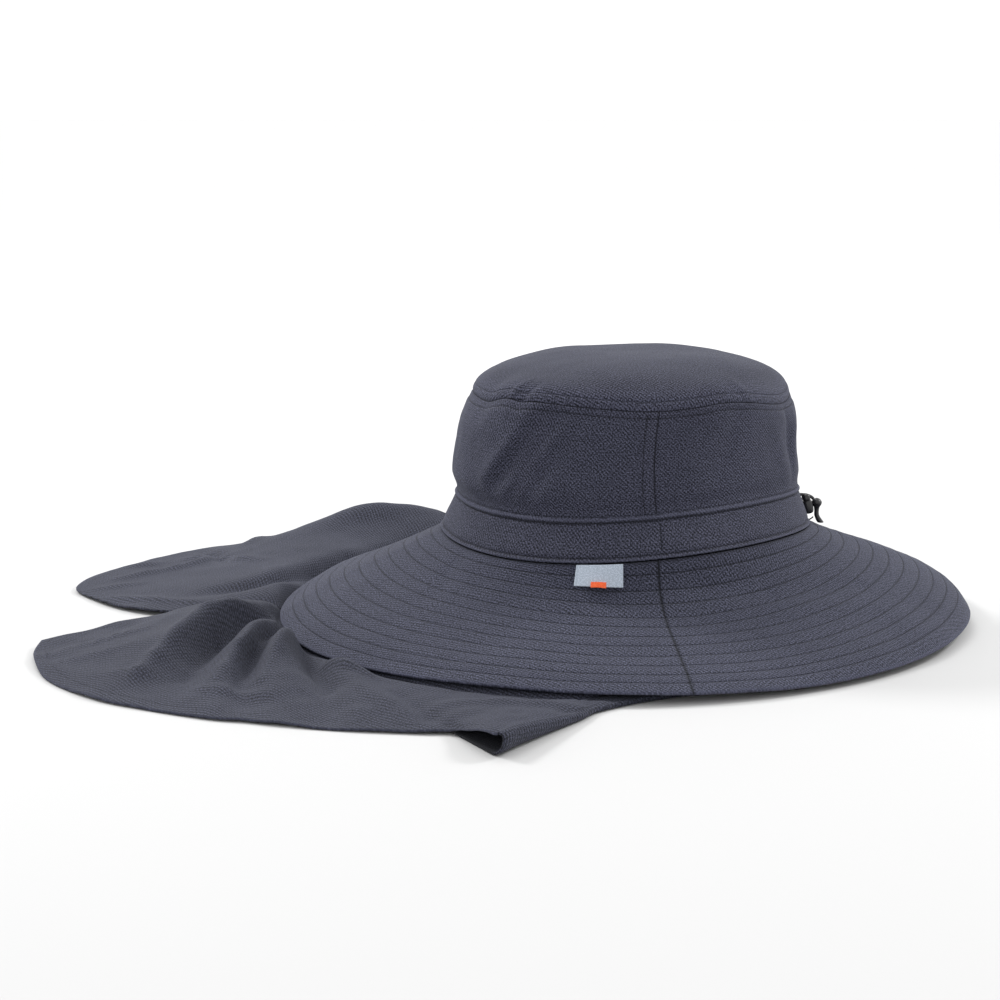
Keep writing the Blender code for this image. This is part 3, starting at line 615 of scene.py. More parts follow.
def tape(name, deep, pale, rib, roughness, sheen):
    """Fine woven tape between two colours."""
    made, tree, shader = new_material(name, roughness, Sheen_Weight=sheen)
    shade, height = twill(tree, rib, 0.45)
    fade = use_group(tree, FADE, {"Place": place_output(tree)}).outputs["Fade"]
    colour = mix_colour(tree, shade, deep, pale)
    soft = mix_colour(tree, fade, (0.90, 0.90, 0.90), (1.08, 1.08, 1.08))
    tree.links.new(mix_colour(tree, 1.0, colour, soft, "MULTIPLY"), shader.inputs["Base Color"])
    tree.links.new(maths(tree, "MULTIPLY_ADD", fade, 0.1, roughness - 0.05), shader.inputs["Roughness"])
    bump(tree, shader, height, 0.12 * MM)
    return made


def plastic():
    made, tree, shader = new_material("stopper_plastic", 0.32)
    place = place_output(tree)
    grain = noise_value(tree, place, 1800.0, 2.0)
    scuff = use_group(tree, FADE, {"Place": place}).outputs["Fade"]
    tree.links.new(mix_colour(tree, scuff, (0.010, 0.010, 0.012), (0.026, 0.026, 0.030)),
                   shader.inputs["Base Color"])
    tree.links.new(maths(tree, "MULTIPLY_ADD", scuff, 0.22, 0.24), shader.inputs["Roughness"])
    bump(tree, shader, grain, 0.04 * MM)
    return made


def cord_material():
    made, tree, shader = new_material("braided_cord", 0.7, Sheen_Weight=0.3)
    shade, height = twill(tree, 0.9 * MM, 0.25)
    tree.links.new(mix_colour(tree, shade, (0.008, 0.008, 0.010), (0.040, 0.040, 0.046)),
                   shader.inputs["Base Color"])
    tree.links.new(maths(tree, "MULTIPLY_ADD", shade, 0.1, 0.62), shader.inputs["Roughness"])
    bump(tree, shader, height, 0.15 * MM)
    return made


crown_cloth = cloth("crown_twill", deep=(0.0052, 0.0058, 0.0108), pale=(0.112, 0.116, 0.177),
                    rib=1.4 * MM, fleck=0.52, line=0.25, dash=0.45)
brim_cloth = cloth("brim_twill", deep=(0.0042, 0.0048, 0.0088), pale=(0.102, 0.107, 0.164),
                   rib=1.65 * MM, fleck=0.52, line=0.12, dash=0.85)
flap_cloth = cloth("flap_twill", deep=(0.0028, 0.0033, 0.0060), pale=(0.072, 0.076, 0.114),
                   rib=2.0 * MM, fleck=0.45, line=0.08, dash=0.25)
label_tape = tape("label_weave", deep=(0.28, 0.33, 0.40), pale=(0.56, 0.62, 0.72),
                  rib=0.7 * MM, roughness=0.55, sheen=0.25)
tab_tape = tape("tab_weave", deep=(0.74, 0.075, 0.008), pale=(1.00, 0.17, 0.025),
                rib=0.6 * MM, roughness=0.6, sheen=0.2)
stopper_plastic = plastic()
braided_cord = cord_material()


# Pieces

def grid_mesh(name, across, along, size):
    bm = bmesh.new()
    bmesh.ops.create_grid(bm, x_segments=across, y_segments=along, size=size)
    mesh = bpy.data.meshes.new(name)
    bm.to_mesh(mesh)
    bm.free()
    return mesh


def add_object(name, data):
    made = bpy.data.objects.new(name, data)
    bpy.context.collection.objects.link(made)
    return made


def skin(name, surface, across, along, finish, wall=0.0):
    """Bend a grid over a surface function of two shares, which gives places, the cloth's flat map, the map of
    its stitched lines and its dark and pale marks, which hold painted shade and painted highlight as well as
    dark joints and wear. Where a place isn't a number there is no cloth."""
    mesh = grid_mesh(name, across, along, 0.5)
    flat = np.empty(3 * len(mesh.vertices))
    mesh.vertices.foreach_get("co", flat)
    flat = flat.reshape(-1, 3)
    places, weave, seams, marks = surface(flat[:, 0] + 0.5, flat[:, 1] + 0.5)
    places = places + AXIS
    bare = np.isnan(places[:, 0])
    places[bare] = 0.0
    mesh.vertices.foreach_set("co", places.ravel())
    corner = np.empty(len(mesh.loops), int)
    mesh.loops.foreach_get("vertex_index", corner)
    for title, values in (("Weave", weave), ("Seams", seams), ("Marks", marks)):
        layer = mesh.uv_layers.new(name=title)
        layer.data.foreach_set("uv", np.nan_to_num(values)[corner].ravel())
    bm = bmesh.new()
    bm.from_mesh(mesh)
    bm.verts.ensure_lookup_table()
    bmesh.ops.delete(bm, geom=[bm.verts[index] for index in np.flatnonzero(bare)], context="VERTS")
    bmesh.ops.remove_doubles(bm, verts=bm.verts, dist=0.01 * MM)
    bmesh.ops.recalc_face_normals(bm, faces=bm.faces)
    bm.to_mesh(mesh)
    bm.free()
    mesh.shade_smooth()
    mesh.materials.append(finish)
    made = add_object(name, mesh)
    if wall:
        thickness = made.modifiers.new("Wall", "SOLIDIFY")
        thickness.thickness = wall
        thickness.offset = 0.0
    return made


def grid_values(stations, shares):
    """The stations of a profile that shares of it stand at."""
    return np.asarray(stations)[np.round(np.asarray(shares) * (len(stations) - 1)).astype(int)]


STATION_GAP = 0.08


def turn_stations(count, lines, offsets):
    """Even turns round the hat, with closer ones beside a few lines."""
    extra = [line + offset for line in lines for offset in offsets]
    even = [turn for turn in np.linspace(0.0, 360.0, count + 1)
            if min(abs(turn - other) for other in extra) > STATION_GAP]
    return np.array(sorted(even + extra))


def no_seams(count):
    """The maps of a piece that is far from any stitched line and has no marks."""
    return np.ones((count, 2)), np.zeros((count, 2))


def near_line(lines, value):
    """How far a value is from the nearest of a few lines."""
    return np.min(np.abs(np.asarray(value)[..., None] - np.asarray(lines)), axis=-1)


def dress(piece, slot, *nodes):
    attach(piece, "root")
    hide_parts(*nodes)


# Brim: one ring of stitched layers

BRIM_SLANT = 98 * MM
BRIM_TURN = 3.2 * MM
RING_LINES = [ring / STITCH_RINGS for ring in range(1, STITCH_RINGS)]
RING_GROOVE = (-0.0085, -0.0035, 0.0, 0.0035, 0.0085)
GROOVE_REST = 0.018
SEAM_REST = 0.008
RIM_START = 0.985
RIM_EDGE = ((0.994, 0.80), (0.999, 0.45), (1.0, 0.0), (0.999, -0.45), (0.994, -0.80))


def brim_stations():
    """The closed profile of the brim: slants, shares of the wall from the middle layer, and 1 for the top."""
    rows = [(0.0, 1.0, 1.0)]
    for ring in range(STITCH_RINGS):
        low = ring / STITCH_RINGS
        high = (ring + 1) / STITCH_RINGS
        first = low + (GROOVE_REST if ring else SEAM_REST)
        last = high - GROOVE_REST if high < 1.0 else RIM_START
        rows += [(lerp(first, last, step / 4), 1.0, 1.0) for step in range(5)]
        if high < 1.0:
            rows += [(high + offset, 1.0, 1.0) for offset in RING_GROOVE]
    rows += [(slant, face, 1.0) for slant, face in RIM_EDGE]
    rows += [(RIM_START * (1.0 - step / 23), -1.0, 0.0) for step in range(24)]
    rows += [(0.0, 0.0, 0.0), rows[0]]
    return np.array(rows)


BRIM_PROFILE = brim_stations()
SIDE_SEAMS = (90.0, 270.0)
BRIM_TURNS = turn_stations(600, SIDE_SEAMS, (-0.55, -0.25, 0.0, 0.25, 0.55))


def brim_seam_distance(turn, slant):
    return near_line(SIDE_SEAMS, turn % 360.0) * math.pi / 180 * lerp(SEAM_RADIUS, RIM_RADIUS, slant)


def brim_relief(turn, slant, top):
    """How far the stitched layers stand proud of or sink into the brim's plain face."""
    away = near_line(RING_LINES, slant) * BRIM_SLANT
    between = np.clip(away / (BRIM_SLANT / STITCH_RINGS / 2), 0.0, 1.0)
    puff = 0.17 * MM * np.sqrt(between) - 0.13 * MM * hump(away, 0.45 * MM)
    places = np.stack((turn * BRIM_TURN, slant * BRIM_SLANT), -1)
    dents = ridges(places, on_wall(BRIM_DENTS, BRIM_TURN, BRIM_SLANT))
    spots = np.stack((turn * BRIM_TURN, slant * BRIM_SLANT * 0.45, np.round(slant * 12.0) * 3.0 * MM), -1)
    pucker = 0.20 * MM * unevenness(spots, 5.0 * MM, 3.0) * between
    waver = 0.7 * MM * unevenness(brim_point(turn, slant), 30 * MM, 9.0) * np.clip(slant * 4.0, 0.0, 1.0)
    seam_groove = 0.35 * MM * hump(brim_seam_distance(turn, slant), 0.7 * MM)
    return dents + waver + top * (puff + pucker - seam_groove)


def stitched_brim():
    def surface(around, along):
        turn = grid_values(BRIM_TURNS, around)
        slant, face, top = grid_values(BRIM_PROFILE, along).T
        relief = brim_relief(turn % 360.0, slant, top)
        distance = face * BRIM_WALL / 2 * 0.92 + relief * np.clip(slant * 14.0, 0.0, 1.0)
        places = beside_brim(turn, slant, distance)
        outward = unit((rim_point(turn) - seam_point(turn)) * np.array((1.0, 1.0, 0.0)))
        places = places + outward * ((1.0 - np.abs(face)) * BRIM_WALL * 0.18 * (slant > 0.9))[:, None]
        angle = np.radians(turn)
        reach = SEAM_RADIUS + slant * BRIM_SLANT
        weave = np.stack((reach * np.cos(angle), reach * np.sin(angle)), -1)
        along_ring = angle * lerp(SEAM_RADIUS, RIM_RADIUS, slant)
        seams = np.stack((along_ring, near_line(RING_LINES, slant) * BRIM_SLANT), -1)
        join = 0.95 * hump(brim_seam_distance(turn, slant), 0.75 * MM)
        # Painted shade where the brim meets the foot of the band.
        root = 0.7 * hump(slant * BRIM_SLANT, 1.6 * MM)
        # A pale edge along the rim's top: partly wear, partly painted highlight.
        worn_and_highlit_rim = 0.30 * smooth((slant - 0.975) / 0.02) * top
        return places, weave, seams, np.stack((np.maximum(join, root), worn_and_highlit_rim), -1)

    made = skin("stitched_brim", surface, len(BRIM_TURNS) - 1, len(BRIM_PROFILE) - 1, brim_cloth)
    dress(made, "brim_cloth", "brim_front", "brim_back")


# Crown

WALL_TURN = math.radians(1.0) * WALL_RADIUS
# Painted shade: an even darkening of the crown wall's colour.
WALL_PAINTED_SHADE = 0.06
# Painted shade: an even darkening of the band's colour.
BAND_PAINTED_SHADE = 0.14
TIP_STITCH = 1.0 - 3.7 * MM / CROWN_HEIGHT
SIDE_STITCHES = (93.75, 266.25)
SIDE_FOLDS = (92.5, 267.5)
WALL_TURNS = turn_stations(450, SIDE_SEAMS + SIDE_STITCHES, (-0.45, -0.2, 0.0, 0.2, 0.45))
BAND_TOP = (BAND_HEIGHT + CLEARANCE) / CROWN_HEIGHT

# How far the seam round the tip stands above or below its even line.
TIP_SEAM_WAVER = (
    # turn, height
    (0.0, 0.0), (150.0, 0.0), (185.0, -0.4 * MM), (200.0, -1.1 * MM), (209.0, 2.0 * MM), (214.0, 2.8 * MM),
    (219.0, 1.8 * MM), (225.0, 2.6 * MM), (236.0, 2.0 * MM), (254.0, 0.2 * MM), (266.0, -0.9 * MM),
    (275.0, -0.7 * MM), (284.0, 0.2 * MM), (293.0, 1.5 * MM), (306.0, 0.2 * MM), (318.0, -2.4 * MM),
    (330.0, -4.0 * MM), (345.0, -2.5 * MM), (360.0, 0.0),
)


def tip_seam_waver(turn):
    return read_table(TIP_SEAM_WAVER, turn % 360.0)[0]


def wall_relief(turn, share):
    places = np.stack((turn * WALL_TURN, share * CROWN_HEIGHT), -1)
    relief = 1.5 * ridges(places, on_wall(CROWN_DENTS, WALL_TURN, CROWN_HEIGHT))
    ball = np.stack((places[:, 0], places[:, 1], np.zeros(len(places))), -1)
    relief = relief + 0.8 * MM * unevenness(ball, 22 * MM, 5.0) + 0.25 * MM * unevenness(ball, 8 * MM, 6.0)
    relief *= np.clip((1.0 - share) * 14.0, 0.0, 1.0)
    seam = near_line(SIDE_SEAMS, turn) * WALL_TURN
    fold = near_line(SIDE_FOLDS, turn) * WALL_TURN
    relief -= 0.5 * MM * hump(seam, 0.5 * MM)
    relief += 0.35 * MM * hump(fold, 2.2 * MM)
    relief += 0.45 * MM * hump((share - 1.0) * CROWN_HEIGHT, 2.6 * MM)
    relief -= 0.25 * MM * hump((share - TIP_STITCH) * CROWN_HEIGHT, 0.7 * MM)
    return relief


def wall_stations():
    """The closed profile of the crown's wall: shares of its height and of its wall inwards."""
    outer = [0.0, 0.5 * BAND_TOP, 0.93 * BAND_TOP]
    outer += list(np.linspace(BAND_TOP, TIP_STITCH - 0.016, 44))
    outer += [TIP_STITCH - 0.008, TIP_STITCH, TIP_STITCH + 0.008]
    outer += list(np.linspace(TIP_STITCH + 0.016, 0.990, 5))
    rows = [(share, 0.0) for share in outer]
    rows += [(0.9955, 0.25), (0.998, 0.6), (0.996, 1.0)]
    rows += [(share, 1.0) for share in np.linspace(0.985, 0.0, 13)]
    rows.append(rows[0])
    return np.array(rows)


WALL_PROFILE = wall_stations()


def crown_wall():
    def surface(around, along):
        turn = grid_values(WALL_TURNS, around)
        share, depth = grid_values(WALL_PROFILE, along).T
        under_band = 1.0 - smooth((share - 0.93 * BAND_TOP) / (0.07 * BAND_TOP))
        proud = wall_relief(turn % 360.0, share) * (1.0 - under_band)
        inset = depth * CROWN_WALL + under_band * (BAND_WALL + CLEARANCE) - proud
        places = crown_point(turn, share, inset)
        places[:, 2] += tip_seam_waver(turn) * smooth((share - 0.72) / 0.28)
        height = share * CROWN_HEIGHT
        side = np.radians(turn) * WALL_RADIUS
        weave = np.stack((side, height), -1)
        top_line = np.abs(share - TIP_STITCH) * CROWN_HEIGHT
        side_line = near_line(SIDE_STITCHES, turn) * WALL_TURN
        upright = side_line < top_line
        seams = np.stack((np.where(upright, height, side), np.minimum(top_line, side_line)), -1)
        join = 0.9 * hump(near_line(SIDE_SEAMS, turn) * WALL_TURN, 0.42 * MM)
        # Painted shade in the gap at the top of the wall, where it tucks under the tip's seam.
        painted_gap_shade = 0.85 * smooth((share - 0.9955) / 0.002)
        # Painted shade on the wall along the band's top edge.
        foot = 0.2 * hump((share - BAND_TOP) * CROWN_HEIGHT, 1.0 * MM)
        dark = np.maximum(np.maximum(join, painted_gap_shade), np.maximum(foot, WALL_PAINTED_SHADE))
        return places, weave, seams, np.stack((dark, np.zeros(len(turn))), -1)

    made = skin("crown_wall", surface, len(WALL_TURNS) - 1, len(WALL_PROFILE) - 1, crown_cloth)
    dress(made, "crown_cloth", "side_panel_front", "side_panel_back")


TIP_LINE = 4.4 * MM
TIP_HALF = 83 * MM
# Painted shade: how much darker the tip's colour is made towards its middle.
TIP_PAINTED_SHADE = 0.32
TIP_TURN = 0.9 * WALL_TURN

# Small folds that run in from the tip's seam.
TIP_PINCHES = (
    # turn, way in, turn, way in, width, height
    (214.0, 0.0, 219.0, 14 * MM, 2.2 * MM, 1.0 * MM),
    (219.5, 0.0, 225.0, 11 * MM, 2.0 * MM, -0.9 * MM),
    (306.0, 0.0, 302.0, 12 * MM, 3.0 * MM, 0.6 * MM),
)

# Ways in from the tip's seam, in millimetres, where its profile has a station.
TIP_WAYS = (0.0, 0.15, 0.4, 0.8, 1.4, 2.2, 3.0, 3.6, 4.0, 4.4, 4.8, 5.2, 6.0, 7.0, 8.5, 10.5, 13.0)


def tip_arc(inward):
    """The length of the tip's cloth from its seam to shares of the way to its middle."""
    ways = np.linspace(0.0, 1.0, 400) ** 2
    rise = TIP_RISE * np.sqrt(1.0 - (1.0 - ways) ** TIP_SQUARENESS)
    steps = np.hypot(np.diff(rise), np.diff(ways) * TIP_HALF)
    return np.interp(inward, ways, np.concatenate(((0.0,), np.cumsum(steps))))


def tip_relief(turn, inward, places):
    arc = tip_arc(inward)
    relief = -0.30 * MM * hump(arc - TIP_LINE, 0.6 * MM) - 0.5 * MM * hump(arc, 0.7 * MM)
    uneven = 1.1 * MM * unevenness(places, 42 * MM, 2.0) + 0.3 * MM * unevenness(places, 14 * MM, 4.0)
    relief += uneven * np.clip(inward * TIP_HALF / (10 * MM), 0.0, 1.0)
    return relief + ridges(np.stack((turn * TIP_TURN, arc), -1), on_wall(TIP_PINCHES, TIP_TURN, 1.0))


def tip_stations():
    near_edge = (np.array(TIP_WAYS) * MM / TIP_RISE) ** 2 / TIP_SQUARENESS
    return np.concatenate((near_edge, np.linspace(near_edge[-1], 1.0, 30)[1:]))


TIP_PROFILE = tip_stations()


def crown_top():
    centre = (crown_point(0.0, 1.0) + crown_point(180.0, 1.0)) / 2

    def surface(around, along):
        turn = 360.0 * around
        inward = grid_values(TIP_PROFILE, along)
        out = 1.0 - inward
        edge = crown_point(turn, 1.0, CROWN_WALL / 2)
        z = edge[:, 2] + CLEARANCE + TIP_RISE * np.sqrt(np.maximum(1.0 - out ** TIP_SQUARENESS, 0.0))
        z = lerp(z, centre[2] + TIP_RISE, inward ** 2) + tip_seam_waver(turn) * smooth(1.0 - inward / 0.22)
        places = np.stack((lerp(centre[0], edge[:, 0], out), lerp(centre[1], edge[:, 1], out), z), -1)
        relief = tip_relief(turn % 360.0, inward, places)
        ways = np.stack((np.cos(np.radians(turn)), np.sin(np.radians(turn))), -1)
        up = unit(np.column_stack(((out ** 3)[:, None] * ways, np.full(len(turn), 0.55))))
        places = places + up * relief[:, None]
        arc = tip_arc(inward)
        weave = (tip_arc(1.0) - arc)[:, None] * ways
        seams = np.stack((np.radians(turn) * TIP_RADIUS, np.abs(arc - TIP_LINE)), -1)
        # Painted shade in the gap at the tip's seam.
        painted_gap_shade = 0.85 * (1.0 - smooth(arc / (0.6 * MM)))
        # Painted shade over the tip away from its edge.
        shade = TIP_PAINTED_SHADE * smooth(inward / 0.12)
        return places, weave, seams, np.stack((np.maximum(painted_gap_shade, shade), np.zeros(len(turn))), -1)

    made = skin("crown_top", surface, 480, len(TIP_PROFILE) - 1, crown_cloth, wall=CROWN_WALL)
    dress(made, "crown_cloth", "crown_tip")


BAND_SHARE = BAND_HEIGHT / CROWN_HEIGHT


def band_stations():
    """The closed profile of the band: (share of its height, share of its wall inwards)."""
    rows = [(0.0, 0.60), (0.006, 0.10), (0.022, -0.30), (0.045, -0.48), (0.068, -0.38), (0.086, 0.00),
            (0.100, 0.34), (0.116, 0.38), (0.135, 0.20), (0.17, 0.04)]
    rows += [(share, 0.0) for share in np.linspace(0.21, 0.78, 14)]
    rows += [(0.815, 0.08), (0.835, 0.32), (0.850, 0.40), (0.866, 0.18), (0.885, -0.22), (0.915, -0.42),
             (0.945, -0.48), (0.970, -0.36), (0.990, 0.02), (0.999, 0.42), (0.992, 0.85), (0.96, 1.0)]
    rows += [(share, 1.0) for share in (0.8, 0.6, 0.4, 0.2, 0.05, 0.0)]
    rows.append(rows[0])
    return np.array(rows)


BAND_PROFILE = band_stations()
BAND_TACKS = (91.0, 271.0)
BAND_STITCH = 0.850
BAND_TOP_LINE = 0.870
BAND_FOOT_LINE = 0.108
BAND_TOP_RIDGE = 0.950
BAND_FOOT_RIDGE = 0.045
BAND_TURNS = turn_stations(560, BAND_TACKS, (-0.5, -0.2, 0.0, 0.2, 0.5))


def band_strip():
    def surface(around, along):
        turn = grid_values(BAND_TURNS, around)
        share, inward = grid_values(BAND_PROFILE, along).T
        height = share * BAND_HEIGHT
        flat = np.stack((turn % 360.0 * WALL_TURN, height, np.zeros(len(turn))), -1)
        outer = inward < 0.5
        proud = 0.45 * MM * unevenness(flat, 16 * MM, 7.0) + 0.15 * MM * unevenness(flat, 5 * MM, 8.0)
        proud *= outer * np.clip(share * 6.0, 0.0, 1.0) * np.clip((1.0 - share) * 8.0, 0.0, 1.0)
        tack = near_line(BAND_TACKS, turn % 360.0) * WALL_TURN
        tacked = (share > 0.12) & (share < 0.80)
        proud = proud - 0.4 * MM * hump(tack, 0.6 * MM) * tacked
        places = crown_point(turn, BAND_SHARE * share, inward * BAND_WALL - proud)
        along_band = np.radians(turn) * BAND_RADIUS
        weave = np.stack((along_band, height + 0.2), -1)
        seams = np.stack((along_band, np.abs(share - BAND_STITCH) * BAND_HEIGHT), -1)
        # Darker lines along the grooves beside the folded edges: partly stitching, partly painted shade in the
        # grooves.
        rows = np.maximum(hump((share - BAND_TOP_LINE) * BAND_HEIGHT, 0.50 * MM),
                          hump((share - BAND_FOOT_LINE) * BAND_HEIGHT, 0.45 * MM))
        bar = hump(tack, 0.45 * MM) * ((share > 0.2) & (share < 0.76))
        # The band's outer face also gets an even painted shade.
        dark = np.maximum(np.maximum(0.75 * rows, 0.8 * bar), BAND_PAINTED_SHADE) * outer
        # Painted highlight along the two folded edges.
        painted_ridge_highlight = np.maximum(hump((share - BAND_TOP_RIDGE) * BAND_HEIGHT, 0.6 * MM),
                           hump((share - BAND_FOOT_RIDGE) * BAND_HEIGHT, 0.45 * MM))
        return places, weave, seams, np.stack((dark, 0.45 * painted_ridge_highlight * outer), -1)

    made = skin("band_strip", surface, len(BAND_TURNS) - 1, len(BAND_PROFILE) - 1, crown_cloth)
    dress(made, "crown_cloth", "hat_band")


# Flap: one cape of thin cloth, worked out in rows from the slit's near edge round the back to its far edge

def wing_row(row):
    seam, rim, edge, reach, bow = row[:5]
    lifts = [FOLD_HEIGHT * lift + FLAP_WALL / 2 for lift in row[5:]]
    angle = math.radians(edge)
    x, y = FLAP_REACH * reach * math.cos(angle), FLAP_REACH * reach * math.sin(angle)
    hem = (POCKET_HEM[0], math.copysign(POCKET_HEM[1], y))
    return [seam, rim, 1.0, x, y, bow, *lifts, *hem, edge, 0.0, 1.0]


def tucked_row(turn):
    crease = brim_point(turn, CREASE_SHARE)[:2]
    hem = crease - unit(crease) * TURN_UNDER
    level = FLAP_WALL / 2 + 2 * ROLL_RADIUS
    return [turn, turn, TUCKED_END, *crease, 0.0, *[level] * 5, *hem, turn, 1.0, 0.0]


def crease_rows(pocket, turn, facing):
    rim = rim_point(turn)
    last_hem = tucked_row(turn + math.copysign(TUCK_TURN, rim[0] * rim[1]))[11:13]
    level = FLAP_WALL / 2 + 2 * ROLL_RADIUS
    rows = []
    for share in CREASE_SHARES:
        lifts = [lerp(lift, level, float(smooth(share * 1.1))) for lift in pocket[6:11]]
        rows.append([lerp(pocket[0], turn, share), lerp(pocket[1], turn, share),
                     lerp(1.0, TUCKED_END, share ** 3), lerp(pocket[3], rim[0], share),
                     lerp(pocket[4], rim[1], share), pocket[5], *lifts, lerp(pocket[11], last_hem[0], share),
                     lerp(pocket[12], last_hem[1], share), facing, 0.0, 1.0 - share])
    return rows


def flap_rows():
    near = [wing_row(row) for row in NEAR_WING]
    far = [wing_row((row[0] + 360.0, row[1] + 360.0, row[2] + 360.0, *row[3:])) for row in FAR_WING]
    far.reverse()
    near_creases = crease_rows(near[-1], NEAR_CREASE_TURN, NEAR_CREASE_FACING)
    far_creases = crease_rows(far[0], FAR_CREASE_TURN + 360.0, FAR_CREASE_FACING + 360.0)
    far_creases.reverse()
    near[-1][13] = NEAR_CREASE_FACING
    far[0][13] = FAR_CREASE_FACING + 360.0
    turns = np.linspace(NEAR_CREASE_TURN + TUCK_TURN, FAR_CREASE_TURN - TUCK_TURN + 360.0, 8)
    return near + near_creases + [tucked_row(turn) for turn in turns] + far_creases + far


SPOKE_TRIES = 6
SPOKE_STEP = 0.1
CEILING_TRIES = 20
CEILING_END = 1.03
LEAST_UPWARD = 0.2


def way_out(x, y):
    """The turn of the brim's spoke through each place, and the share of the way out along it."""
    turn = np.degrees(np.arctan2(y / HEAD_WIDTH, x / HEAD_LENGTH))

    def miss(at):
        seam, rim = seam_point(at), rim_point(at)
        spoke = rim - seam
        return (x - seam[..., 0]) * spoke[..., 1] - (y - seam[..., 1]) * spoke[..., 0], seam, spoke

    for _ in range(SPOKE_TRIES):
        here, there = miss(turn)[0], miss(turn + SPOKE_STEP)[0]
        turn = turn - SPOKE_STEP * here / (there - here)
    _, seam, spoke = miss(turn)
    across = (x - seam[..., 0]) * spoke[..., 0] + (y - seam[..., 1]) * spoke[..., 1]
    return turn, across / (spoke[..., 0] ** 2 + spoke[..., 1] ** 2)


def brim_ceiling(x, y):
    """How high the middle of the flap may lie under the brim at each place; endless outside the rim."""
    turn, share = way_out(x, y)
    low, high = np.zeros(len(x)), np.ones(len(x))
    for _ in range(CEILING_TRIES):
        slant = (low + high) / 2
        short = brim_shares(turn, slant)[0] < share
        low, high = np.where(short, slant, low), np.where(short, high, slant)
    room = BRIM_WALL / 2 + FLAP_WALL / 2 + 2 * FLAP_ROOM
    level = brim_point(turn, slant)[:, 2] - room / np.maximum(brim_normal(turn, slant)[:, 2], LEAST_UPWARD)
    return np.where(share > CEILING_END, np.inf, level)


def flap_stations(numbers, turned):
    """The stations of every column of the flap, from the seam to the edge, and round the fold to the hem."""
    seam, rim, end, edge_x, edge_y, bow = numbers[:, :6].T
    lifts = numbers[:, 6:11]
    hem = np.column_stack((numbers[:, 11:13], np.full(len(numbers), FLAP_WALL / 2)))
    facing, tucked, open_share = numbers[:, 13:16].T
    room = np.full(len(numbers), -(BRIM_WALL / 2 + FLAP_WALL / 2 + FLAP_ROOM))
    points = []
    for share in BRIM_RINGS:
        slant = np.full(len(numbers), share)
        if share > INNER_RING:
            slant = INNER_RING + (share - INNER_RING) * (end - INNER_RING) / (1.0 - INNER_RING)
        points.append(beside_brim(lerp(seam, rim, smooth(share)), slant, room))
    start = points[-1] + unit(brim_point(rim, end) - brim_point(rim, end - SLANT_STEP)) * RIM_EASE
    start[:, 2] = np.minimum(start[:, 2], brim_ceiling(start[:, 0], start[:, 1]))
    start[:, 2] = np.maximum(start[:, 2], FLAP_WALL / 2)
    points.append(start)

    angle = np.radians(facing)
    outward = np.column_stack((np.cos(angle), np.sin(angle), np.zeros(len(angle))))
    radius = (lifts[:, -1] - FLAP_WALL / 2) / 2
    edge = np.column_stack((edge_x, edge_y, np.zeros(len(angle))))
    edge -= outward * (radius * (1.0 - open_share) * turned)[:, None]
    first = np.degrees(np.arctan2(start[:, 1], start[:, 0]))
    last = np.degrees(np.arctan2(edge[:, 1], edge[:, 0]))
    last += 360.0 * np.round((first - last) / 360.0)
    for share in SHARES_OUT:
        way = np.radians(lerp(first, last, share) + bow * math.sin(math.pi * share))
        reach = lerp(np.hypot(start[:, 0], start[:, 1]), np.hypot(edge[:, 0], edge[:, 1]), share)
        x, y = reach * np.cos(way), reach * np.sin(way)
        shares = (0.0, *LIFT_SHARES)
        levels = np.column_stack((start[:, 2], lifts))
        place = np.interp(share, shares, range(len(shares)))
        z = through(levels.T, np.array(place))
        ceiling = brim_ceiling(x, y)
        inside = np.isfinite(ceiling)
        limit = np.where(inside, ceiling, 1.0)
        z = np.where(inside, np.minimum(lerp(z, lerp(limit, lifts[:, -1], smooth(share)), tucked), limit), z)
        points.append(np.column_stack((x, y, np.maximum(z, FLAP_WALL / 2))))

    crease = points[-1]
    squash = lerp(1.0, ROLL_SQUASH, open_share)
    radius = (crease[:, 2] - FLAP_WALL / 2) / 2
    for roll in ROLL_ANGLES:
        down = 1.0 - math.cos(math.radians(roll))
        out = squash * math.sin(math.radians(roll)) - ROLL_LEAN * open_share * down
        over = outward * (radius * out)[:, None]
        over[:, 2] -= radius * down
        points.append(crease + over)
    low = points[-1]
    for step in range(1, UNDER_STEPS + 1):
        points.append(lerp(low, hem, step / UNDER_STEPS))
    return np.array(points)


FINE_COLUMNS = 10
TOP_STEPS = 76
UNDER_FINE_STEPS = 22
FOLD_STRENGTH = 1.9
FAR_RIPPLE_SHARE = 0.5
FAR_DROP_WAY = np.array((0.80, 0.58))
FAR_DROP_COLUMNS = 45
RIM_FADE_ROWS = 5.0
ROLL_FADE_ROWS = 9.0
INSIDE_ROW = 10
INSIDE_FADE_ROWS = 4.0
# Painted shadow inside the pocket, on the cloth turned under past the roll.
INSIDE_PAINTED_SHADE = 0.97
# A pale line along the flap's edge and hem: partly wear, partly painted highlight.
HEM_WEAR_AND_HIGHLIGHT = 0.45
HEM_WEAR_AND_HIGHLIGHT_WIDTH = 1.2 * MM


def fine_grid(stations, places):
    """Every column read at places between its stations, on a smooth curve through them."""
    shape = stations.shape
    rows = stations.reshape(shape[0], -1)
    return through(rows, np.asarray(places, float)).reshape(len(places), *shape[1:])


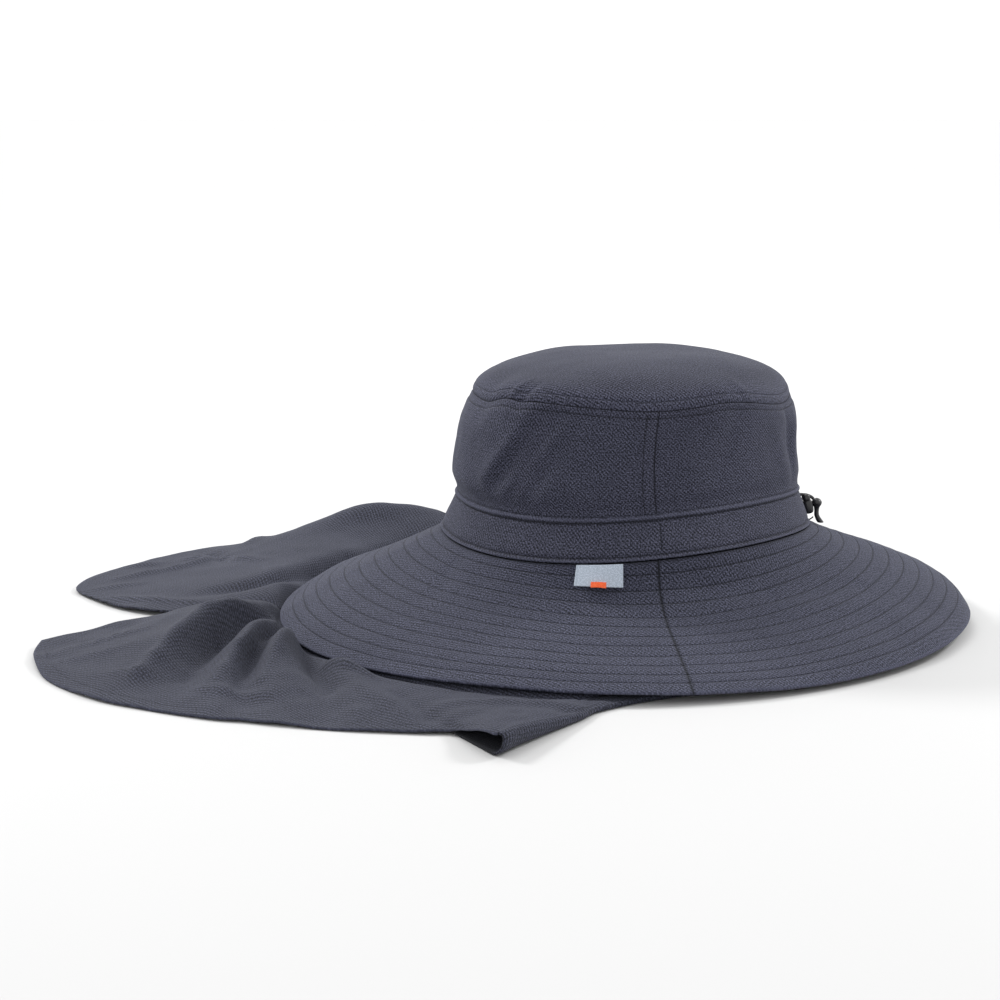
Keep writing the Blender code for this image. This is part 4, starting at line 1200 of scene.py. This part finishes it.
def fold_heights(plan):
    """How far the folds and a fine ripple lift or sink the cloth at places on the plan."""
    flat = np.nan_to_num(plan.reshape(-1, 2))
    ball = np.column_stack((flat, np.zeros(len(flat))))
    ripple = 1.2 * MM * unevenness(ball, 26 * MM, 11.0) + 0.7 * MM * unevenness(ball, 11 * MM, 12.0)
    ripple *= np.where(flat[:, 1] > 0.0, FAR_RIPPLE_SHARE, 1.0)
    return (FOLD_STRENGTH * ridges(flat, FLAP_FOLDS, MM) + ripple).reshape(plan.shape[:2])


def folded_heights(places, turned, top_places):
    """The flap's heights with its folds, kept under the brim, above the floor and off its rolled edge."""
    shape = places.shape[:2]
    level = places[..., 2]
    row = np.arange(shape[0])[:, None]
    rim_row = np.searchsorted(top_places, float(len(BRIM_RINGS)))
    beyond = np.where(row <= TOP_STEPS, smooth((row - rim_row) / RIM_FADE_ROWS), 0.0) * np.ones(shape)
    roll_fade = np.where(turned, smooth((TOP_STEPS - row) / ROLL_FADE_ROWS), 1.0)
    flat = np.nan_to_num(places[..., :2].reshape(-1, 2))
    ceiling = brim_ceiling(flat[:, 0], flat[:, 1]).reshape(shape)
    lifted = level + fold_heights(places[..., :2]) * beyond * roll_fade
    lifted = np.where(beyond > 0.0, np.minimum(lifted, np.maximum(ceiling, level)), level)
    return np.where(np.isnan(level), np.nan, np.maximum(lifted, FLAP_WALL / 2))


def flap_weave(places, lengths, facing, far_pocket):
    """The flap laid flat: each column unrolled on the plan, and on in one direction past the crease."""
    plan = places[..., :2]
    ways = unit(np.diff(plan, axis=0) + 1e-9)
    steps = np.linalg.norm(np.diff(places, axis=0), axis=-1)[..., None]
    unrolled = plan[0] + np.concatenate((np.zeros((1, *plan.shape[1:])), np.cumsum(ways * steps, axis=0)))
    past_far_fold = smooth((np.arange(plan.shape[1]) - far_pocket + FAR_DROP_COLUMNS) / FINE_COLUMNS)
    far_drop = past_far_fold * np.nan_to_num(places[..., 2])
    unrolled = unrolled - far_drop[..., None] * FAR_DROP_WAY
    beyond_crease = np.maximum(lengths - lengths[TOP_STEPS], 0.0)[..., None]
    past = unrolled[TOP_STEPS] + beyond_crease * np.stack((np.cos(facing), np.sin(facing)), -1)
    turned_over = (np.arange(len(places)) > TOP_STEPS)[:, None, None]
    return np.where(turned_over, past, np.nan_to_num(unrolled))


def flap_sheet():
    rows = np.array(flap_rows())
    columns = FINE_COLUMNS * (len(rows) - 1)
    near_pocket = FINE_COLUMNS * (len(NEAR_WING) - 1)
    far_pocket = columns - FINE_COLUMNS * (len(FAR_WING) - 1)
    column = np.arange(columns + 1)
    turned = (column >= near_pocket) & (column <= far_pocket)
    numbers = through(rows, column / FINE_COLUMNS)
    stations = flap_stations(numbers, turned)
    last_ring = len(BRIM_RINGS) - 1
    last_top = len(BRIM_RINGS) + len(SHARES_OUT)
    top_places = np.interp(np.linspace(0.0, 1.0, TOP_STEPS + 1), (0.0, 0.16, 1.0), (0, last_ring, last_top))
    top = fine_grid(stations[:last_top + 1], top_places)
    under = fine_grid(stations, np.linspace(last_top, len(stations) - 1, UNDER_FINE_STEPS + 1)[1:])
    under[:, ~turned] = np.nan
    places = np.concatenate((top, under))

    steps = np.linalg.norm(np.diff(places, axis=0), axis=-1)
    lengths = np.concatenate((np.zeros((1, len(column))), np.cumsum(np.nan_to_num(steps), axis=0)))
    from_hem = np.where(turned, lengths[-1], lengths[TOP_STEPS]) - lengths
    hem_steps = np.linalg.norm(np.diff(places[TOP_STEPS], axis=0), axis=-1)
    along_hem = np.concatenate(((0.0,), np.cumsum(hem_steps)))
    seams = np.stack((np.broadcast_to(along_hem, from_hem.shape), np.abs(from_hem - HEM_WIDTH)), -1)
    rolled = np.arange(len(places))[:, None] - TOP_STEPS
    # Painted shadow on the turned-under cloth inside the pocket.
    inside = INSIDE_PAINTED_SHADE * smooth((rolled - INSIDE_ROW) / INSIDE_FADE_ROWS) * np.ones(from_hem.shape)
    # Marks: painted shadow in the pocket, and the edge's wear and painted highlight.
    marks = np.stack((inside, HEM_WEAR_AND_HIGHLIGHT * (1.0 - smooth(from_hem / HEM_WEAR_AND_HIGHLIGHT_WIDTH))), -1)
    places[..., 2] = folded_heights(places, turned, top_places)
    weave = flap_weave(places, lengths, np.radians(numbers[:, 13]), far_pocket)

    def surface(around, along):
        across_at = np.round(around * columns).astype(int)
        along_at = np.round(along * (len(places) - 1)).astype(int)
        return [values[along_at, across_at] for values in (places, weave, seams, marks)]

    made = skin("cape_flap", surface, columns, len(places) - 1, flap_cloth, wall=FLAP_WALL)
    dress(made, "flap_cloth", "neck_flap")


# Label

def label_part(name, width, first_drop, last_drop, lift, across, along, finish):
    """A small piece of tape that hangs from the seam over the brim, between two drops from the seam."""
    seam = seam_point(LABEL_TURN)
    slant_length = 1.12 * np.linalg.norm(rim_point(LABEL_TURN) - seam)

    def surface(u, v):
        turn = LABEL_TURN + np.degrees(width * (u - 0.5) / math.hypot(seam[0], seam[1]))
        drop = lerp(first_drop, last_drop, v)
        bow = LABEL_CURL * np.sin(math.pi * u) * (drop / LABEL_DROP)
        edge = -LABEL_EDGE_DIP * hump(np.minimum(u, 1.0 - u) * width - LABEL_EDGE, LABEL_EDGE_WIDTH)
        top = beside_brim(turn, np.zeros(len(u)), np.full(len(u), lift) + bow + edge)
        bottom = beside_brim(turn, np.full(len(u), LABEL_DROP / slant_length), LABEL_LIFT + lift + bow + edge)
        places = top + (bottom - top) * (drop / LABEL_DROP)[:, None]
        weave = np.stack((u * width, drop), -1)
        return places, weave, *no_seams(len(u))

    made = skin(name, surface, across, along, finish, wall=LABEL_WALL * 0.9)
    soft_edge = made.modifiers.new("Soft edge", "BEVEL")
    soft_edge.width = LABEL_ROUNDING
    soft_edge.segments = 2
    soft_edge.limit_method = "ANGLE"
    soft_edge.angle_limit = math.radians(50)
    return made


def label():
    lift = BRIM_WALL / 2 + CLEARANCE + LABEL_WALL / 2
    woven = label_part("woven_label", LABEL_WIDTH, 2 * CLEARANCE, LABEL_DROP, lift, 46, 26, label_tape)
    dress(woven, "label_tape", "side_label")
    first = LABEL_DROP - 0.75 * TAB_DROP
    tab_lift = lift + CLEARANCE + LABEL_WALL
    tab = label_part("folded_tab", TAB_WIDTH, first, first + TAB_DROP, tab_lift, 22, 12, tab_tape)
    dress(tab, "tab_tape", "label_tab")


# Cord lock, cord and knob

def lock_place():
    foot = crown_point(0.0, 0.36 * BAND_HEIGHT / CROWN_HEIGHT)
    return foot + np.array((math.cos(LOCK_LEAN), 0.0, math.sin(LOCK_LEAN))) * (LOCK_DEPTH / 2 + 2 * CLEARANCE)


def knob_place():
    return lock_place() + np.array((LOCK_DEPTH / 2 + KNOB_DIAMETER / 2 - CLEARANCE, 0.0, 0.06 * LOCK_LENGTH))


# The lock from its foot to the top of its button: shares of its length and of its width.
LOCK_ROWS = (
    # up, across
    (0.00, 0.00), (0.01, 0.40), (0.05, 0.72), (0.14, 0.92), (0.30, 1.00), (0.48, 1.00), (0.60, 0.93),
    (0.655, 0.84), (0.67, 0.70), (0.69, 0.64), (0.71, 0.70), (0.73, 0.80), (0.84, 0.80), (0.93, 0.66),
    (0.985, 0.38), (1.00, 0.00),
)


BARREL_SQUARENESS = 3
BARREL_DEPTH = 0.42 * LOCK_DEPTH
BARREL_WIDTH = 0.46 * LOCK_WIDTH
BARREL_LENGTH = 1.12 * LOCK_LENGTH
PLASTIC_MAP = 0.03


def lock_body():
    """The lock's barrel with the button pushed into its top, leaning on the band."""
    middle = lock_place()

    def surface(around, along):
        up, across = through(LOCK_ROWS, along * (len(LOCK_ROWS) - 1)).T
        across = np.maximum(across, 0.0)
        angle = 2 * math.pi * around
        powers = np.abs(np.cos(angle)) ** BARREL_SQUARENESS + np.abs(np.sin(angle)) ** BARREL_SQUARENESS
        square = powers ** (-1 / BARREL_SQUARENESS)
        x = across * BARREL_DEPTH * np.cos(angle) * square
        y = across * BARREL_WIDTH * np.sin(angle) * square
        z = (up - 0.5) * BARREL_LENGTH
        places = np.stack((x * math.cos(LOCK_LEAN) - z * math.sin(LOCK_LEAN), y,
                           x * math.sin(LOCK_LEAN) + z * math.cos(LOCK_LEAN)), -1) + middle
        return places, np.stack((around, along), -1) * PLASTIC_MAP, *no_seams(len(angle))

    dress(skin("lock_barrel", surface, 48, 90, stopper_plastic), "black_plastic", "cord_lock")


KNOB_ROWS = (
    # down, back, across
    (0.00, 0.00, 0.00), (0.012, 0.00, 0.32), (0.04, 0.00, 0.63), (0.09, 0.00, 0.95), (0.17, 0.00, 1.14),
    (0.25, 0.01, 1.04), (0.31, 0.02, 0.84), (0.38, 0.03, 0.62), (0.52, 0.03, 0.52), (0.68, 0.08, 0.54),
    (0.84, 0.45, 0.66), (0.95, 0.80, 0.72), (0.985, 0.90, 0.60), (1.00, 0.95, 0.00),
)


def knob():
    middle = knob_place()

    def surface(around, along):
        down, back, across = through(KNOB_ROWS, along * (len(KNOB_ROWS) - 1)).T
        angle = 2 * math.pi * around
        radius = np.maximum(across, 0.0) * KNOB_DIAMETER / 2
        places = np.stack((back * KNOB_BEND + radius * np.cos(angle), radius * np.sin(angle),
                           (0.17 - down) * KNOB_LENGTH), -1) + middle
        return places, np.stack((around, along), -1) * PLASTIC_MAP, *no_seams(len(angle))

    dress(skin("cord_knob", surface, 40, 78, stopper_plastic), "black_plastic", "cord_end")


def cord(name, points, diameter, node):
    """A round braided cord on a smooth curve through a few points."""
    points = np.array(points)

    def surface(around, along):
        place = np.clip(along * 1.04 - 0.02, 0.0, 1.0) * (len(points) - 1)
        centre = through(points, place)
        ahead = through(points, np.minimum(place + 0.05, len(points) - 1.0))
        behind = through(points, np.maximum(place - 0.05, 0.0))
        forward = unit(ahead - behind)
        side = np.array((0.0, 1.0, 0.0))
        up = unit(np.cross(forward, side))
        cap = np.where((along < 0.005) | (along > 0.995), 0.0, 1.0)
        angle = 2 * math.pi * around
        radius = (diameter / 2 * cap)[:, None]
        places = centre + radius * (up * np.cos(angle)[:, None] + side * np.sin(angle)[:, None])
        length = np.linalg.norm(points[-1] - points[0])
        return places, np.stack((around * math.pi * diameter, along * length), -1), *no_seams(len(angle))

    dress(skin(name, surface, 16, 60, braided_cord), "black_cord", node)


def cords():
    band_top = crown_point(0.0, 0.8 * BAND_HEIGHT / CROWN_HEIGHT)
    off = CORD_DIAMETER / 2 + CLEARANCE + 0.3 * LOCK_DEPTH
    up_lock = np.array((-math.sin(LOCK_LEAN), 0.0, math.cos(LOCK_LEAN)))
    lock_top = lock_place() + up_lock * (LOCK_LENGTH / 2 + off)
    head = knob_place()
    start = np.array((band_top[0] + 6 * CLEARANCE, 0.0, lock_top[2] - 0.9 * off))
    reach = np.array((head[0] - lock_top[0], 0.0, head[2] - lock_top[2]))
    stop = head - unit(reach) * (KNOB_DIAMETER / 2 + CLEARANCE)
    bend = np.array((lock_top[0] + 0.6 * (stop[0] - lock_top[0]), 0.0, lock_top[2] - 0.9 * off))
    points = []
    for share in np.linspace(0.0, 1.0, 7):
        points.append(lerp(lerp(start, bend, share), lerp(bend, stop, share), share))
    cord("arm_cord", points, CORD_DIAMETER, "draw_cord")

    neck = knob_place() + np.array((-0.21 * KNOB_DIAMETER - TAIL_DIAMETER / 2 - CLEARANCE, 0.0,
                                    -0.58 * KNOB_LENGTH))
    foot = crown_point(0.0, 0.0) + np.array((CLEARANCE, 0.0, -0.6 * MM))
    points = []
    for share in np.linspace(0.0, 1.0, 6):
        points.append(lerp(neck, foot, share) - np.array((0.0, 0.0, 0.9 * MM * math.sin(math.pi * share))))
    cord("thin_elastic", points, TAIL_DIAMETER, "cord_tail")


crown_top()
crown_wall()
band_strip()
stitched_brim()
flap_sheet()
label()
lock_body()
knob()
cords()


# Floor, light and camera

def floor():
    mesh = grid_mesh("pale_floor", 1, 1, 60.0)
    made, tree, shader = new_material("pale_paper", 0.9)
    length = tree.nodes.new("ShaderNodeVectorMath")
    length.operation = "LENGTH"
    tree.links.new(place_output(tree), length.inputs[0])
    away = maths(tree, "MULTIPLY_ADD", length.outputs["Value"], 0.55, -0.35, clamp=True)
    grain = noise_value(tree, place_output(tree), 3.0, 2.0)
    tone = mix_colour(tree, away, (0.56, 0.56, 0.56), (0.93, 0.93, 0.93))
    soft = mix_colour(tree, grain, (0.99, 0.99, 0.99), (1.0, 1.0, 1.0))
    tree.links.new(mix_colour(tree, 1.0, tone, soft, "MULTIPLY"), shader.inputs["Base Color"])
    mesh.materials.append(made)
    plate = add_object("pale_floor", mesh)
    plate.location.z = -0.0005


def soft_light(name, place, target, size, watts):
    lamp = bpy.data.lights.new(name, "AREA")
    lamp.shape = "DISK"
    lamp.size = size
    lamp.energy = watts
    made = add_object(name, lamp)
    made.location = place
    made.rotation_euler = (Vector(target) - Vector(place)).to_track_quat("-Z", "Y").to_euler()


def lights():
    middle = (0.0, 0.0, 0.05)
    soft_light("top_softbox", (-0.2, 0.9, 1.9), middle, 1.2, 8.0)
    soft_light("left_softbox", (-1.35, 1.0, 1.45), middle, 0.45, 27.0)
    soft_light("right_softbox", (1.5, 0.3, 1.1), middle, 0.45, 16.0)
    world = bpy.data.worlds.new("studio")
    world.use_nodes = True
    world.node_tree.nodes["Background"].inputs["Color"].default_value = (1.0, 1.0, 1.0, 1.0)
    world.node_tree.nodes["Background"].inputs["Strength"].default_value = 1.08
    bpy.context.scene.world = world


def camera():
    data = bpy.data.cameras.new("photo_view")
    data.lens = CAMERA_LENS
    data.sensor_width = 36.0
    data.clip_start = 0.05
    data.clip_end = 60.0
    made = add_object("photo_view", data)
    bearing = CAMERA_AZIMUTH + CAMERA_YAW
    ahead = Vector((math.sin(bearing) * math.cos(CAMERA_PITCH), math.cos(bearing) * math.cos(CAMERA_PITCH),
                    -math.sin(CAMERA_PITCH)))
    right = Vector((math.cos(bearing), -math.sin(bearing), 0.0))
    up = right.cross(ahead)
    place = Vector((-CAMERA_DISTANCE * math.sin(CAMERA_AZIMUTH) + AXIS[0],
                    -CAMERA_DISTANCE * math.cos(CAMERA_AZIMUTH) + AXIS[1], CAMERA_HEIGHT))
    turned = Matrix((right, up, -ahead)).transposed().to_4x4()
    made.matrix_world = Matrix.Translation(place) @ turned
    bpy.context.scene.camera = made


floor()
lights()
camera()
bpy.context.scene.view_settings.view_transform = "Standard"
bpy.context.view_layer.update()
